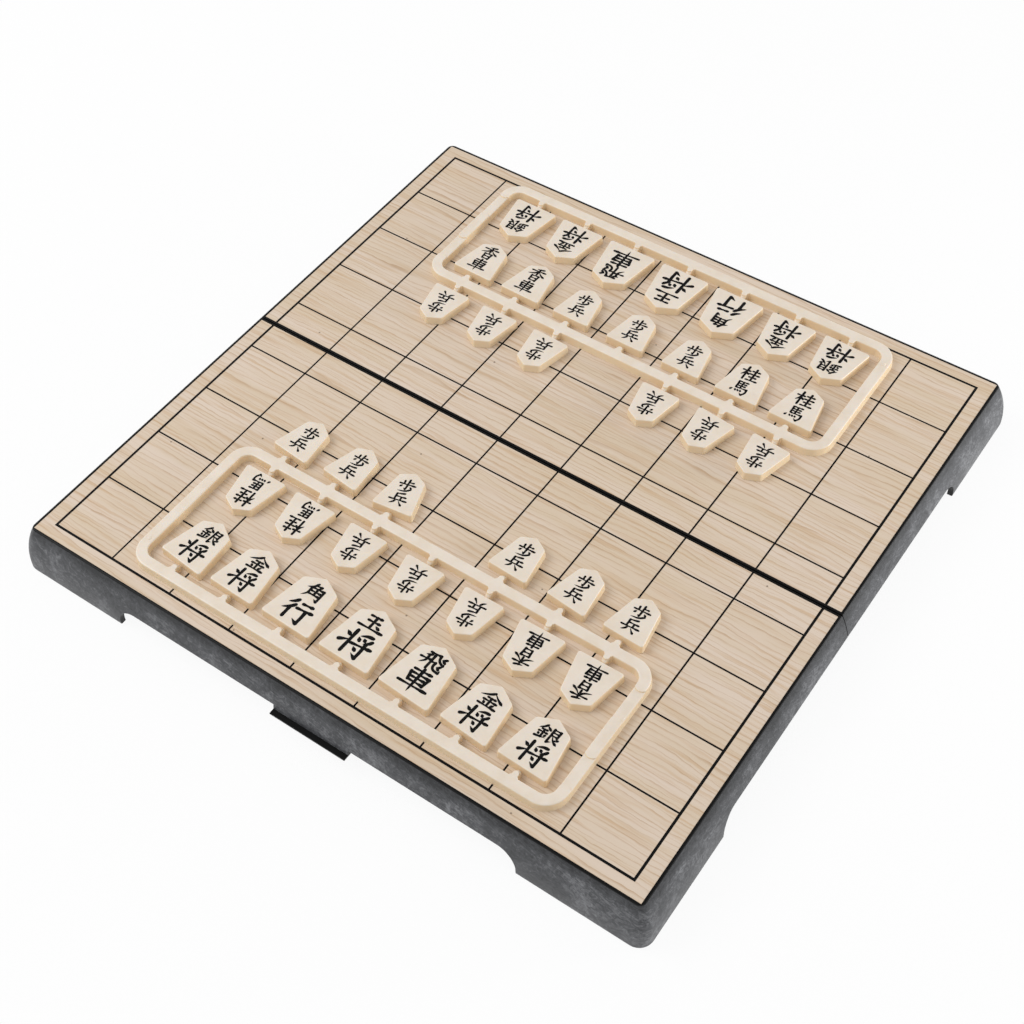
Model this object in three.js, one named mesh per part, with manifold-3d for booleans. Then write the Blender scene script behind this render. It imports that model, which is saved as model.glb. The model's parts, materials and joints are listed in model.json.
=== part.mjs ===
// Folding travel shogi board, opened flat, with its two sets of men still on their runners.
// Millimetres. X runs along the fold, +Y from the near half to the far half, +Z up.
// The origin lies on the surface that the feet stand on, in the middle of the footprint.

import * as THREE from 'three';
import { mergeVertices } from 'three/addons/utils/BufferGeometryUtils.js';
import Module from 'manifold-3d';

const wasm = await Module();
wasm.setup();

const degree = Math.PI / 180;
const quarterTurn = Math.PI / 2;

// Case halves
const boardHeight = 18.5;
const rimHalfWidth = 120.7;
const rimHalfLength = 119.7;
const wallFlare = 4.3;
const flarePower = 2.2;
const flareLevelShares = [0, 0.1, 0.28, 0.54, 1];
const rimCornerRadius = 2.2;
const footCornerRadius = 5.2;
const cornerSteps = 5;
const wallThickness = 2;
const foldGap = 0.3;
const archHeight = 9.2;
const archCornerRadius = 7.2;
const archSteps = 6;
const nearFootReach = 80;
const sideFootReach = 79.2;
const ribThickness = 1.5;
const ribDepth = 2.4;
const crossRibShares = [-0.75, -0.375, 0, 0.375, 0.75];
const longRibShares = [0.34, 0.67];

// Printed sheet and the steel plate under it, in a recess between narrow rims
const rimWidth = 0.8;
const foldRim = 1.1;
const sheetDrop = 0.1;
const sheetThickness = 0.4;
const steelThickness = 0.5;
const deckThickness = 1.6;
const recessClearance = 0.15;

// Fold hinge
const hingeFromSide = 32.7;
const hingePinRadius = 0.7;
const knuckleRadius = 1.5;
const knuckleFloorGap = 0.1;
const outerKnuckleLength = 8;
const middleKnuckleLength = 10;
const knuckleGap = 0.3;
const boreClearance = 0.15;
const roundSteps = 16;

// What is left between the feet when the board is folded
const footMeetGap = 0.25;

// Latch: a lip on the near half, a swinging clasp under the edge of the far half
const latchCentre = 2;
const latchWidth = 30;
const latchTabDrop = 2;
const lipThickness = 0.6;
const lipReach = 2;
const claspPinRadius = 0.75;
const claspBarrelRadius = 1.7;
const claspWallGap = 0.4;
const claspEarLength = 4;
const claspThickness = 1.4;
const claspSideGap = 0.3;
const claspCatchGap = 0.3;
const claspHookThickness = 1.4;
const claspHookReach = 1.5;
const claspFloorGap = 0.4;

// Runner of one set of men
const runnerHalfWidth = 84.6;
const runnerHalfLength = 29.9;
const runnerWidth = 4;
const runnerHeight = 3.2;
const runnerDraft = 0.3;
const runnerEdge = 0.35;
const runnerCornerRadius = 8;
const runnerCornerSteps = 5;
const padHalfLength = 7.9;
const stepStart = 20;
const stepDepth = 0.45;
const pipRadius = 0.7;
const pipHeight = 0.3;
const pipFromMiddle = 20.5;
const pipSteps = 10;

// Gates that held the men to the runner
const gateLength = 3.8;
const gateGap = 0.3;
const gateRootWidth = 3.3;
const gateNoseWidth = 1.8;
const gateTopShare = 0.6;
const gateShoulderShare = 0.5;
const gateNoseSteps = 4;
const gateOverlap = 1.2;
const gatePlaceShares = [-0.801, -0.545, -0.277, 0, 0.277, 0.545, 0.801];

// Men: sizes of the upper face. The disc magnet under each is flush with its foot and bonded in.
const manHeight = 3.4;
const manDraft = 0.25;
const manEdge = 0.3;
const manCornerRadius = 0.7;
const manCornerSteps = 2;
const manSizes = {
  king: { base: 19.9, length: 21.8, shoulderWidth: 14.3, shoulderHeight: 18.3 },
  rook: { base: 19.9, length: 21.4, shoulderWidth: 14.1, shoulderHeight: 18.0 },
  bishop: { base: 19.9, length: 21.4, shoulderWidth: 14.1, shoulderHeight: 18.0 },
  gold: { base: 18.2, length: 19.8, shoulderWidth: 12.9, shoulderHeight: 16.6 },
  silver: { base: 18.2, length: 19.8, shoulderWidth: 12.9, shoulderHeight: 16.6 },
  knight: { base: 17.0, length: 18.1, shoulderWidth: 11.2, shoulderHeight: 15.3 },
  lance: { base: 17.0, length: 18.1, shoulderWidth: 11.2, shoulderHeight: 15.3 },
  pawn: { base: 15.4, length: 17.1, shoulderWidth: 10.1, shoulderHeight: 14.5 },
};

// Which man sits at which gate: the outer runner bar, the inner bar's inside and its outside
const frontRow = ['silver_left', 'gold_left', 'bishop', 'king', 'rook', 'gold_right', 'silver_right'];
const innerRow = ['knight_left', 'knight_right', 'pawn_1', 'pawn_2', 'pawn_3', 'lance_left', 'lance_right'];
const outerRow = ['pawn_4', 'pawn_5', 'pawn_6', null, 'pawn_7', 'pawn_8', 'pawn_9'];

// How far each man has been twisted on its gate, in degrees, in the order of the rows
const nearTwists = {
  frontRow: [-5.5, -1.8, -1.6, -1.2, -3.2, -4, -1.8],
  innerRow: [0, -0.4, 0, 0, 0, 1, 0.6],
  outerRow: [-5.5, -6.4, 7.4, 0, -2.4, -5, -2],
};
const farTwists = {
  frontRow: [-1.8, -0.8, 0, 0, 0, 0, -0.6],
  innerRow: [-0.8, 0, 0, 0, 0, -0.8, -0.8],
  outerRow: [-4.4, -5.4, 0, 0, -2.4, 0, 0],
};

// Where the two sets lie on the board
const setSideways = 0.3;
const nearSetFromRim = 38.5;
const farSetFromRim = 37.5;

const overrun = 3;

// Levels that follow from the sizes above
const sheetTop = boardHeight - sheetDrop;
const sheetBottom = sheetTop - sheetThickness;
const deckTop = sheetBottom - steelThickness;
const deckBottom = deckTop - deckThickness;

// Places that follow from them
const sheetHalfWidth = rimHalfWidth - rimWidth - recessClearance;
const sheetOuterEdge = rimHalfLength - rimWidth - recessClearance;
const hingeStation = rimHalfWidth - hingeFromSide;
const hingePinHeight = knuckleRadius + knuckleFloorGap;
const lipTop = archHeight - latchTabDrop;
const lipBottom = lipTop - lipThickness;
const gatePlaces = gatePlaceShares.map((share) => share * runnerHalfWidth);

// The folded board stops here, just before its feet meet
const foldedTurn = Math.PI - Math.asin((2 * hingePinHeight + footMeetGap) / sideFootReach);

// Finishes
const finishes = {
  caseShell: new THREE.MeshStandardMaterial({ color: 0x4a4b4e, roughness: 0.5, metalness: 0 }),
  clasp: new THREE.MeshStandardMaterial({ color: 0x1c1c1e, roughness: 0.3, metalness: 0 }),
  sheet: new THREE.MeshStandardMaterial({ color: 0xd7c5af, roughness: 0.45, metalness: 0 }),
  steel: new THREE.MeshStandardMaterial({ color: 0x9a9c9f, roughness: 0.4, metalness: 1 }),
  pin: new THREE.MeshStandardMaterial({ color: 0xb8babc, roughness: 0.3, metalness: 1 }),
  men: new THREE.MeshStandardMaterial({ color: 0xe8d8c8, roughness: 0.4, metalness: 0 }),
};

// Solids: closed meshes, and cutting and joining them

function toSolid(geometry) {
  const bare = geometry.clone();
  bare.deleteAttribute('normal');
  bare.deleteAttribute('uv');
  const merged = mergeVertices(bare);
  const vertProperties = new Float32Array(merged.attributes.position.array);
  const triVerts = new Uint32Array(merged.index.array);
  return new wasm.Manifold(new wasm.Mesh({ numProp: 3, vertProperties, triVerts }));
}

function toGeometry(solid) {
  const mesh = solid.getMesh();
  const geometry = new THREE.BufferGeometry();
  geometry.setAttribute('position', new THREE.Float32BufferAttribute(mesh.vertProperties, 3));
  geometry.setIndex(new THREE.Uint32BufferAttribute(mesh.triVerts, 1));
  return geometry;
}

function join(solids) {
  return solids.reduce((whole, piece) => whole.add(piece));
}

function cut(solid, cutters) {
  return cutters.reduce((whole, cutter) => whole.subtract(cutter), solid);
}

// A closed solid through outlines of equal point count, stacked from the lowest level up.
function stackedSolid(levels) {
  const count = levels[0].outline.length;
  const positions = levels.flatMap(({ z, outline }) => outline.flatMap((point) => [point.x, point.y, z]));
  const indices = [];
  for (let level = 0; level + 1 < levels.length; level += 1) {
    for (let corner = 0; corner < count; corner += 1) {
      const low = level * count + corner;
      const lowNext = level * count + ((corner + 1) % count);
      indices.push(low, lowNext, lowNext + count);
      indices.push(low, lowNext + count, low + count);
    }
  }
  const top = (levels.length - 1) * count;
  THREE.ShapeUtils.triangulateShape(levels[0].outline, []).forEach(([a, b, c]) => indices.push(c, b, a));
  THREE.ShapeUtils.triangulateShape(levels[levels.length - 1].outline, [])
    .forEach(([a, b, c]) => indices.push(top + a, top + b, top + c));
  const geometry = new THREE.BufferGeometry();
  geometry.setAttribute('position', new THREE.Float32BufferAttribute(positions, 3));
  geometry.setIndex(indices);
  return toSolid(geometry);
}

function box(low, high) {
  const size = new THREE.Vector3().subVectors(high, low);
  const centre = new THREE.Vector3().addVectors(low, high).divideScalar(2);
  return toSolid(new THREE.BoxGeometry(size.x, size.y, size.z).translate(centre.x, centre.y, centre.z));
}

function point(x, y, z) {
  return new THREE.Vector3(x, y, z);
}

// A round bar along X.
function barAlongX(radius, fromX, toX, y, z, steps = roundSteps) {
  const geometry = new THREE.CylinderGeometry(radius, radius, toX - fromX, steps);
  geometry.rotateZ(quarterTurn);
  return toSolid(geometry.translate((fromX + toX) / 2, y, z));
}

// A round bar that stands upright.
function barUp(radius, x, y, fromZ, toZ, steps) {
  const geometry = new THREE.CylinderGeometry(radius, radius, toZ - fromZ, steps);
  geometry.rotateX(quarterTurn);
  return toSolid(geometry.translate(x, y, (fromZ + toZ) / 2));
}

function arc(centreX, centreY, radius, fromAngle, toAngle, steps) {
  const points = [];
  for (let step = 0; step <= steps; step += 1) {
    const angle = fromAngle + ((toAngle - fromAngle) * step) / steps;
    points.push(new THREE.Vector2(centreX + radius * Math.cos(angle), centreY + radius * Math.sin(angle)));
  }
  return points;
}

// A rectangle about the origin with round corners.
function roundedRectangle(halfWidth, halfLength, radius, steps) {
  const x = halfWidth - radius;
  const y = halfLength - radius;
  return [
    ...arc(x, y, radius, 0, quarterTurn, steps),
    ...arc(-x, y, radius, quarterTurn, 2 * quarterTurn, steps),
    ...arc(-x, -y, radius, 2 * quarterTurn, 3 * quarterTurn, steps),
    ...arc(x, -y, radius, 3 * quarterTurn, 4 * quarterTurn, steps),
  ];
}

// Case half. It is built as the near half: the fold at the top of the plan, the outer wall at -Y.

function flareShareAt(depthShare) {
  return 1 - (1 - depthShare) ** flarePower;
}

function flareAt(depthShare) {
  return wallFlare * flareShareAt(depthShare);
}

function caseOutline(depthShare, inset, foldEdge) {
  const halfWidth = rimHalfWidth + flareAt(depthShare) - inset;
  const length = rimHalfLength + flareAt(depthShare) - inset;
  const outerRadius = rimCornerRadius
    + (footCornerRadius - rimCornerRadius) * flareShareAt(depthShare);
  const radius = Math.max(outerRadius - inset, rimCornerRadius / 2);
  return [
    new THREE.Vector2(halfWidth, -foldEdge),
    new THREE.Vector2(-halfWidth, -foldEdge),
    ...arc(radius - halfWidth, radius - length, radius, 2 * quarterTurn, 3 * quarterTurn, cornerSteps),
    ...arc(halfWidth - radius, radius - length, radius, 3 * quarterTurn, 4 * quarterTurn, cornerSteps),
  ];
}

function caseBody() {
  const levels = flareLevelShares.map((share) => ({
    z: boardHeight * (1 - share),
    outline: caseOutline(share, 0, foldGap / 2),
  }));
  return stackedSolid(levels.reverse());
}

function caseHollow() {
  const foldEdge = foldGap / 2 + wallThickness;
  const deckShare = 1 - deckBottom / boardHeight;
  const shares = [deckShare, ...flareLevelShares.filter((share) => share > deckShare)];
  const levels = shares.map((share) => ({
    z: boardHeight * (1 - share),
    outline: caseOutline(share, wallThickness, foldEdge),
  }));
  levels.push({ z: -overrun, outline: caseOutline(1, wallThickness, foldEdge) });
  return stackedSolid(levels.reverse());
}

function sheetRecess() {
  const halfWidth = sheetHalfWidth + recessClearance;
  return box(
    point(-halfWidth, -(sheetOuterEdge + recessClearance), deckTop),
    point(halfWidth, recessClearance - foldRim, boardHeight + overrun),
  );
}

// The long arch in the outer wall, between the two feet, with the latch tab left standing in it.
function outerArch(tab) {
  const shape = new THREE.Shape();
  const straight = archHeight - archCornerRadius;
  const arcPlace = nearFootReach - archCornerRadius;
  shape.moveTo(nearFootReach, -overrun);
  shape.lineTo(nearFootReach, straight);
  shape.absarc(arcPlace, straight, archCornerRadius, 0, quarterTurn, false);
  if (tab) {
    shape.lineTo(tab.right, archHeight);
    shape.lineTo(tab.right, tab.bottom);
    shape.lineTo(tab.left, tab.bottom);
    shape.lineTo(tab.left, archHeight);
  }
  shape.absarc(-arcPlace, straight, archCornerRadius, quarterTurn, 2 * quarterTurn, false);
  shape.lineTo(-nearFootReach, -overrun);
  const inside = rimHalfLength - wallThickness;
  const outside = rimHalfLength + wallFlare + overrun;
  const geometry = new THREE.ExtrudeGeometry(shape, {
    depth: outside - inside,
    bevelEnabled: false,
    curveSegments: archSteps,
  });
  return toSolid(geometry.rotateX(quarterTurn).translate(0, -inside, 0));
}

// The arches in both side walls run on through the foot of the fold wall.
function sideArches() {
  const shape = new THREE.Shape();
  const straight = archHeight - archCornerRadius;
  const arcPlace = archCornerRadius - sideFootReach;
  shape.moveTo(-sideFootReach, -overrun);
  shape.lineTo(overrun, -overrun);
  shape.lineTo(overrun, archHeight);
  shape.absarc(arcPlace, straight, archCornerRadius, quarterTurn, 2 * quarterTurn, false);
  shape.lineTo(-sideFootReach, -overrun);
  const reach = rimHalfWidth + wallFlare + overrun;
  const geometry = new THREE.ExtrudeGeometry(shape, {
    depth: 2 * reach,
    bevelEnabled: false,
    curveSegments: archSteps,
  });
  return toSolid(geometry.rotateX(quarterTurn).rotateZ(quarterTurn).translate(-reach, 0, 0));
}

function deckRibs() {
  const top = deckBottom + deckThickness / 2;
  const low = deckBottom - ribDepth;
  const innerHalfWidth = rimHalfWidth - wallThickness / 2;
  const innerLength = rimHalfLength - wallThickness / 2;
  const foldEdge = foldGap / 2 + wallThickness / 2;
  const half = ribThickness / 2;
  const cross = crossRibShares.map((share) => {
    const x = share * innerHalfWidth;
    return box(point(x - half, -innerLength, low), point(x + half, -foldEdge, top));
  });
  const long = longRibShares.map((share) => {
    const y = -share * innerLength;
    return box(point(-innerHalfWidth, y - half, low), point(innerHalfWidth, y + half, top));
  });
  return [...cross, ...long];
}

// The stretches of X that one half's knuckles take at a hinge station.
function knuckleSpans(station, isNear) {
  const middle = middleKnuckleLength / 2;
  const start = middle + knuckleGap;
  const end = start + outerKnuckleLength;
  const spans = isNear ? [[-end, -start], [start, end]] : [[-middle, middle]];
  return spans.map(([from, to]) => [station + from, station + to]);
}

// Each knuckle hangs on an arm from the fold wall.
function hingeKnuckles(isNear) {
  const armTop = archHeight + wallThickness;
  const armBack = -(foldGap / 2 + wallThickness);
  const spans = [-hingeStation, hingeStation].flatMap((station) => knuckleSpans(station, isNear));
  return spans.flatMap(([from, to]) => [
    barAlongX(knuckleRadius, from, to, 0, hingePinHeight),
    box(point(from, armBack, hingePinHeight), point(to, -foldGap / 2, armTop)),
  ]);
}

function hingeBores() {
  const halfLength = middleKnuckleLength / 2 + knuckleGap + outerKnuckleLength + overrun;
  return [-hingeStation, hingeStation].map((station) => barAlongX(
    hingePinRadius + boreClearance, station - halfLength, station + halfLength, 0, hingePinHeight,
  ));
}

function wallFaceAt(height) {
  return rimHalfLength + flareAt(1 - height / boardHeight);
}

// How far the near half reaches, at the edge of its lip.
const nearReach = wallFaceAt(lipTop) + lipReach;

function caseShell(isNear, extras, bores, tab) {
  const hollowed = cut(caseBody(), [caseHollow(), sheetRecess(), outerArch(tab), sideArches()]);
  const joined = join([hollowed, ...deckRibs(), ...hingeKnuckles(isNear), ...extras]);
  return cut(joined, [...hingeBores(), ...bores]);
}

// Near half: the tab in its outer wall ends in a lip that the clasp hooks over.
function nearCaseShell() {
  const left = latchCentre - latchWidth / 2;
  const right = latchCentre + latchWidth / 2;
  const lip = box(
    point(left, -nearReach, lipBottom),
    point(right, lipReach + wallThickness / 2 - nearReach, lipTop),
  );
  return caseShell(true, [lip], [], { left, right, bottom: lipBottom });
}

// The clasp swings on this line, just under the raised edge of the far half's outer wall.
const claspPivotReach = wallFaceAt(archHeight);
const claspPinHeight = archHeight - claspWallGap - claspBarrelRadius;

// Where that line lies on the folded board: how far out from the hinge, and how far below the near feet.
const foldedPivotReach = (claspPinHeight - hingePinHeight) * Math.sin(foldedTurn)
  - claspPivotReach * Math.cos(foldedTurn);
const foldedPivotDepth = claspPivotReach * Math.sin(foldedTurn)
  - (claspPinHeight - hingePinHeight) * Math.cos(foldedTurn) - hingePinHeight;

// Far half: two ears under the edge of its outer wall carry the clasp pin. It is built as the near
// half is, and turned about afterwards.
function farCaseShell() {
  const centre = -latchCentre;
  const ears = [-1, 1].flatMap((side) => {
    const outer = centre + (side * latchWidth) / 2;
    const inner = outer - side * claspEarLength;
    const from = Math.min(outer, inner);
    const to = Math.max(outer, inner);
    return [
      barAlongX(claspBarrelRadius, from, to, -claspPivotReach, claspPinHeight),
      box(
        point(from, -claspPivotReach, claspPinHeight),
        point(to, wallThickness - claspPivotReach, archHeight + wallThickness / 2),
      ),
    ];
  });
  const bore = barAlongX(
    claspPinRadius + boreClearance, centre - latchWidth / 2 - overrun, centre + latchWidth / 2 + overrun,
    -claspPivotReach, claspPinHeight,
  );
  return caseShell(false, ears, [bore], null);
}

// The clasp's plate stands out past the lip, and its hook comes in over it.
const claspInner = nearReach - foldedPivotReach + claspCatchGap;
const claspOuter = claspInner + claspThickness;
const catchDepth = foldedPivotDepth + lipTop + claspCatchGap;
const claspDepth = catchDepth + claspHookThickness;

// At rest the clasp is folded in under the case, with its tip just clear of the floor.
const claspRestTurn = Math.atan2(claspOuter, claspDepth)
  + Math.acos((claspPinHeight - claspFloorGap) / Math.hypot(claspOuter, claspDepth));

// Clasp, about its own pin, as it lies on the folded board.
function clasp() {
  const halfLength = latchWidth / 2 - claspEarLength - claspSideGap;
  const barrel = barAlongX(claspBarrelRadius, -halfLength, halfLength, 0, 0);
  const crank = box(
    point(-halfLength, -claspOuter, -claspBarrelRadius),
    point(halfLength, 0, claspThickness - claspBarrelRadius),
  );
  const plate = box(
    point(-halfLength, -claspOuter, -claspDepth),
    point(halfLength, -claspInner, claspThickness - claspBarrelRadius),
  );
  const hook = box(
    point(-halfLength, -claspOuter, -claspDepth),
    point(halfLength, claspHookReach - claspInner, -catchDepth),
  );
  const bore = barAlongX(
    claspPinRadius + boreClearance, -halfLength - overrun, halfLength + overrun, 0, 0,
  );
  return cut(join([barrel, crank, plate, hook]), [bore]);
}

function pin(radius, halfLength) {
  return barAlongX(radius, -halfLength, halfLength, 0, 0);
}

function playingSheet() {
  return box(
    point(-sheetHalfWidth, -sheetOuterEdge, sheetBottom),
    point(sheetHalfWidth, -foldRim, sheetTop),
  );
}

function steelPlate() {
  return box(
    point(-sheetHalfWidth, -sheetOuterEdge, deckTop),
    point(sheetHalfWidth, -foldRim, sheetBottom),
  );
}

// Runner: a flat ring with draft on its sides, a softened top edge and a gate for each man.

function ringStack(halfWidth, halfLength, radius, outward) {
  const grow = [runnerDraft, 0, -runnerEdge].map((amount) => amount * outward);
  const heights = [0, runnerHeight - runnerEdge, runnerHeight];
  return stackedSolid(heights.map((z, level) => ({
    z,
    outline: roundedRectangle(
      halfWidth + grow[level], halfLength + grow[level], radius + grow[level], runnerCornerSteps,
    ),
  })));
}

function runnerRing() {
  const outer = ringStack(runnerHalfWidth, runnerHalfLength, runnerCornerRadius, 1);
  const innerHalfWidth = runnerHalfWidth - runnerWidth;
  const innerHalfLength = runnerHalfLength - runnerWidth;
  const inner = ringStack(innerHalfWidth, innerHalfLength, runnerCornerRadius - runnerWidth, -1);
  return cut(outer, [inner]);
}

// The right-hand bar steps down between its corners and the long pad in its middle.
function runnerSteps() {
  const halfBar = runnerWidth / 2;
  const barX = runnerHalfWidth - halfBar;
  const low = runnerHeight - stepDepth;
  const high = runnerHeight + overrun;
  return [-1, 1].map((side) => {
    const padEnd = side * (padHalfLength - halfBar);
    const cornerEnd = side * (stepStart + halfBar);
    const slot = box(
      point(barX - halfBar - overrun / 2, Math.min(padEnd, cornerEnd), low),
      point(barX + halfBar + overrun / 2, Math.max(padEnd, cornerEnd), high),
    );
    return cut(slot, [padEnd, cornerEnd].map((y) => barUp(
      halfBar + runnerDraft, barX, y, low - overrun, high + overrun, roundSteps,
    )));
  });
}

// One gate: a blunt nose on top, running out low down towards the man. It points along +Y.
function gate() {
  const reach = gateLength - gateGap - manDraft;
  const shape = (length, rootWidth) => {
    const noseRadius = gateNoseWidth / 2;
    return [
      new THREE.Vector2(-rootWidth / 2, -gateOverlap),
      new THREE.Vector2(rootWidth / 2, -gateOverlap),
      new THREE.Vector2(rootWidth / 2, 0),
      new THREE.Vector2(noseRadius, (length - noseRadius) * gateShoulderShare),
      ...arc(0, length - noseRadius, noseRadius, 0, 2 * quarterTurn, gateNoseSteps),
      new THREE.Vector2(-noseRadius, (length - noseRadius) * gateShoulderShare),
      new THREE.Vector2(-rootWidth / 2, 0),
    ];
  };
  const lowHeight = runnerHeight / 2;
  const topHeight = runnerHeight - runnerEdge;
  return stackedSolid([
    { z: 0, outline: shape(reach, gateRootWidth) },
    { z: lowHeight, outline: shape(reach, gateRootWidth) },
    { z: topHeight, outline: shape(reach * gateTopShare, gateRootWidth) },
  ]);
}

function placeSolid(solid, x, y, turn) {
  const geometry = toGeometry(solid);
  geometry.rotateZ(turn).translate(x, y, 0);
  return toSolid(geometry);
}

function runner() {
  const barOuter = runnerHalfLength;
  const barInner = runnerHalfLength - runnerWidth;
  const gates = gatePlaces.flatMap((x, place) => {
    const stubs = [
      placeSolid(gate(), x, -barInner, 0),
      placeSolid(gate(), x, barInner, Math.PI),
    ];
    if (outerRow[place]) {
      stubs.push(placeSolid(gate(), x, barOuter, 0));
    }
    return stubs;
  });
  const barX = runnerHalfWidth - runnerWidth / 2;
  const pip = barUp(pipRadius, -barX, -pipFromMiddle, runnerHeight / 2, runnerHeight + pipHeight, pipSteps);
  return join([cut(runnerRing(), runnerSteps()), ...gates, pip]);
}

// Men. Each is built with the middle of its foot at the origin and its point towards +Y.

// Rounds each corner of an outline, whose points run anticlockwise.
function roundCorners(corners, radius, steps) {
  return corners.flatMap((corner, place) => {
    const before = corners[(place + corners.length - 1) % corners.length];
    const after = corners[(place + 1) % corners.length];
    const back = new THREE.Vector2().subVectors(before, corner).normalize();
    const ahead = new THREE.Vector2().subVectors(after, corner).normalize();
    const halfAngle = Math.acos(back.dot(ahead)) / 2;
    const bisector = new THREE.Vector2().addVectors(back, ahead).normalize();
    const centre = corner.clone().addScaledVector(bisector, radius / Math.sin(halfAngle));
    const start = Math.atan2(-back.x, back.y);
    const sweep = Math.PI - 2 * halfAngle;
    return arc(centre.x, centre.y, radius, start - Math.PI, start - Math.PI + sweep, steps);
  });
}

function manCorners(size, grow) {
  const half = size.base / 2;
  const shoulder = size.shoulderWidth / 2;
  return [
    new THREE.Vector2(-half - grow, -grow),
    new THREE.Vector2(half + grow, -grow),
    new THREE.Vector2(shoulder + grow, size.shoulderHeight + grow / 2),
    new THREE.Vector2(0, size.length + grow),
    new THREE.Vector2(-shoulder - grow, size.shoulderHeight + grow / 2),
  ];
}

function man(size) {
  const levels = [
    { z: 0, grow: manDraft },
    { z: manHeight - manEdge, grow: 0 },
    { z: manHeight, grow: -manEdge },
  ].map(({ z, grow }) => ({
    z,
    outline: roundCorners(manCorners(size, grow), manCornerRadius, manCornerSteps),
  }));
  return stackedSolid(levels);
}

// Assembly

function addMesh(group, name, solid, finish) {
  const mesh = new THREE.Mesh(toGeometry(solid), finish.clone());
  mesh.name = name;
  group.add(mesh);
  return mesh;
}

function manKind(name) {
  return name.split('_')[0];
}

// Every man of a set: its name, its kind, where its foot's middle lies and how it is turned.
function seatedMen(twists) {
  const footGap = gateLength;
  const rows = [
    { names: frontRow, twist: twists.frontRow, y: footGap + runnerWidth - runnerHalfLength, turn: 0 },
    { names: innerRow, twist: twists.innerRow, y: runnerHalfLength - runnerWidth - footGap, turn: Math.PI },
    { names: outerRow, twist: twists.outerRow, y: runnerHalfLength + footGap, turn: 0 },
  ];
  return rows.flatMap(({ names, twist, y, turn }) => names.flatMap((name, place) => (name ? [{
    name,
    size: manSizes[manKind(name)],
    x: gatePlaces[place],
    y,
    turn: turn + twist[place] * degree,
  }] : [])));
}

function setOfMen(side, twists) {
  const group = new THREE.Group();
  addMesh(group, `${side}_sprue_runner`, runner(), finishes.men);
  seatedMen(twists).forEach(({ name, size, x, y, turn }) => {
    const mesh = addMesh(group, `${side}_${name}`, man(size), finishes.men);
    mesh.position.set(x, y, 0);
    mesh.rotation.z = turn;
  });
  return group;
}

function nearHalf() {
  const group = new THREE.Group();
  addMesh(group, 'near_case_shell', nearCaseShell(), finishes.caseShell);
  addMesh(group, 'near_steel_plate', steelPlate(), finishes.steel);
  addMesh(group, 'near_playing_sheet', playingSheet(), finishes.sheet);
  const halfLength = middleKnuckleLength / 2 + knuckleGap + outerKnuckleLength;
  ['left', 'right'].forEach((name, place) => {
    const mesh = addMesh(group, `${name}_hinge_pin`, pin(hingePinRadius, halfLength), finishes.pin);
    mesh.position.set(place === 0 ? -hingeStation : hingeStation, 0, hingePinHeight);
  });
  return group;
}

function farHalf() {
  const group = new THREE.Group();
  addMesh(group, 'far_case_shell', farCaseShell(), finishes.caseShell);
  addMesh(group, 'far_steel_plate', steelPlate(), finishes.steel);
  addMesh(group, 'far_playing_sheet', playingSheet(), finishes.sheet);
  const claspPin = addMesh(group, 'clasp_pin', pin(claspPinRadius, latchWidth / 2), finishes.pin);
  claspPin.position.set(-latchCentre, -claspPivotReach, claspPinHeight);
  const claspMesh = addMesh(group, 'latch_clasp', clasp(), finishes.clasp);
  claspMesh.position.set(-latchCentre, -claspPivotReach, claspPinHeight);
  claspMesh.rotation.x = claspRestTurn;
  group.rotation.z = Math.PI;
  return group;
}

function board() {
  const group = new THREE.Group();
  group.add(nearHalf());
  group.add(farHalf());
  const nearSet = setOfMen('near', nearTwists);
  nearSet.position.set(setSideways, nearSetFromRim - rimHalfLength, sheetTop);
  group.add(nearSet);
  const farSet = setOfMen('far', farTwists);
  farSet.position.set(setSideways, rimHalfLength - farSetFromRim, sheetTop);
  farSet.rotation.z = Math.PI;
  group.add(farSet);
  const farReach = Math.max(rimHalfLength + wallFlare, claspPivotReach + claspBarrelRadius);
  group.position.y = (nearReach - farReach) / 2;
  return group;
}

export default board();
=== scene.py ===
"""Folding travel shogi board, opened flat, with its two sets of men still on their runners.

Sizes are in millimetres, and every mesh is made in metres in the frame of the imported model:
X runs along the fold, +Y from the near half to the far half, +Z up.
"""

import json
import logging
import math
from dataclasses import dataclass, field
from enum import Enum

import bpy
from bpy.types import Material, MeshPolygon, Node, NodeSocket, NodeTree, Object
from mathutils import Matrix, Vector


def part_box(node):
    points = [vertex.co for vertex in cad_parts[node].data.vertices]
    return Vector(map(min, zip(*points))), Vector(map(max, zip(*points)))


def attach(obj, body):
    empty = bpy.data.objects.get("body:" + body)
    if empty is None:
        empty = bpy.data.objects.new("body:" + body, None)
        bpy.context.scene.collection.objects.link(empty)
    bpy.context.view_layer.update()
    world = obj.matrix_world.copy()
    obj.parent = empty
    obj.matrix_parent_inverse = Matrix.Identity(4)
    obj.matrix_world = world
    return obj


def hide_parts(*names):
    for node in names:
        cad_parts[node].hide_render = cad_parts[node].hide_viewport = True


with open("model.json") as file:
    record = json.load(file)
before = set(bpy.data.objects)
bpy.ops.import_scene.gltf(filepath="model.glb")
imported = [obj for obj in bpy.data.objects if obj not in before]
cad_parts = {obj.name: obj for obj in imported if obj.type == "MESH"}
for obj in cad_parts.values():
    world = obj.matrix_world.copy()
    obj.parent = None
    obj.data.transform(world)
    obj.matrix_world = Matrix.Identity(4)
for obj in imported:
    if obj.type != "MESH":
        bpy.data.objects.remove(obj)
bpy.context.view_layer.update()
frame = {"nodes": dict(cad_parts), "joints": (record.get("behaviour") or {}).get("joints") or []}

LOG = logging.getLogger("shogi_board")

MM = 0.001
QUARTER_TURN = math.pi / 2
# How far a cutter runs past what it cuts.
OVERRUN = 3.0
# How many sides a round rod, bore or disc has.
ROUND_SIDES = 40
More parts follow.
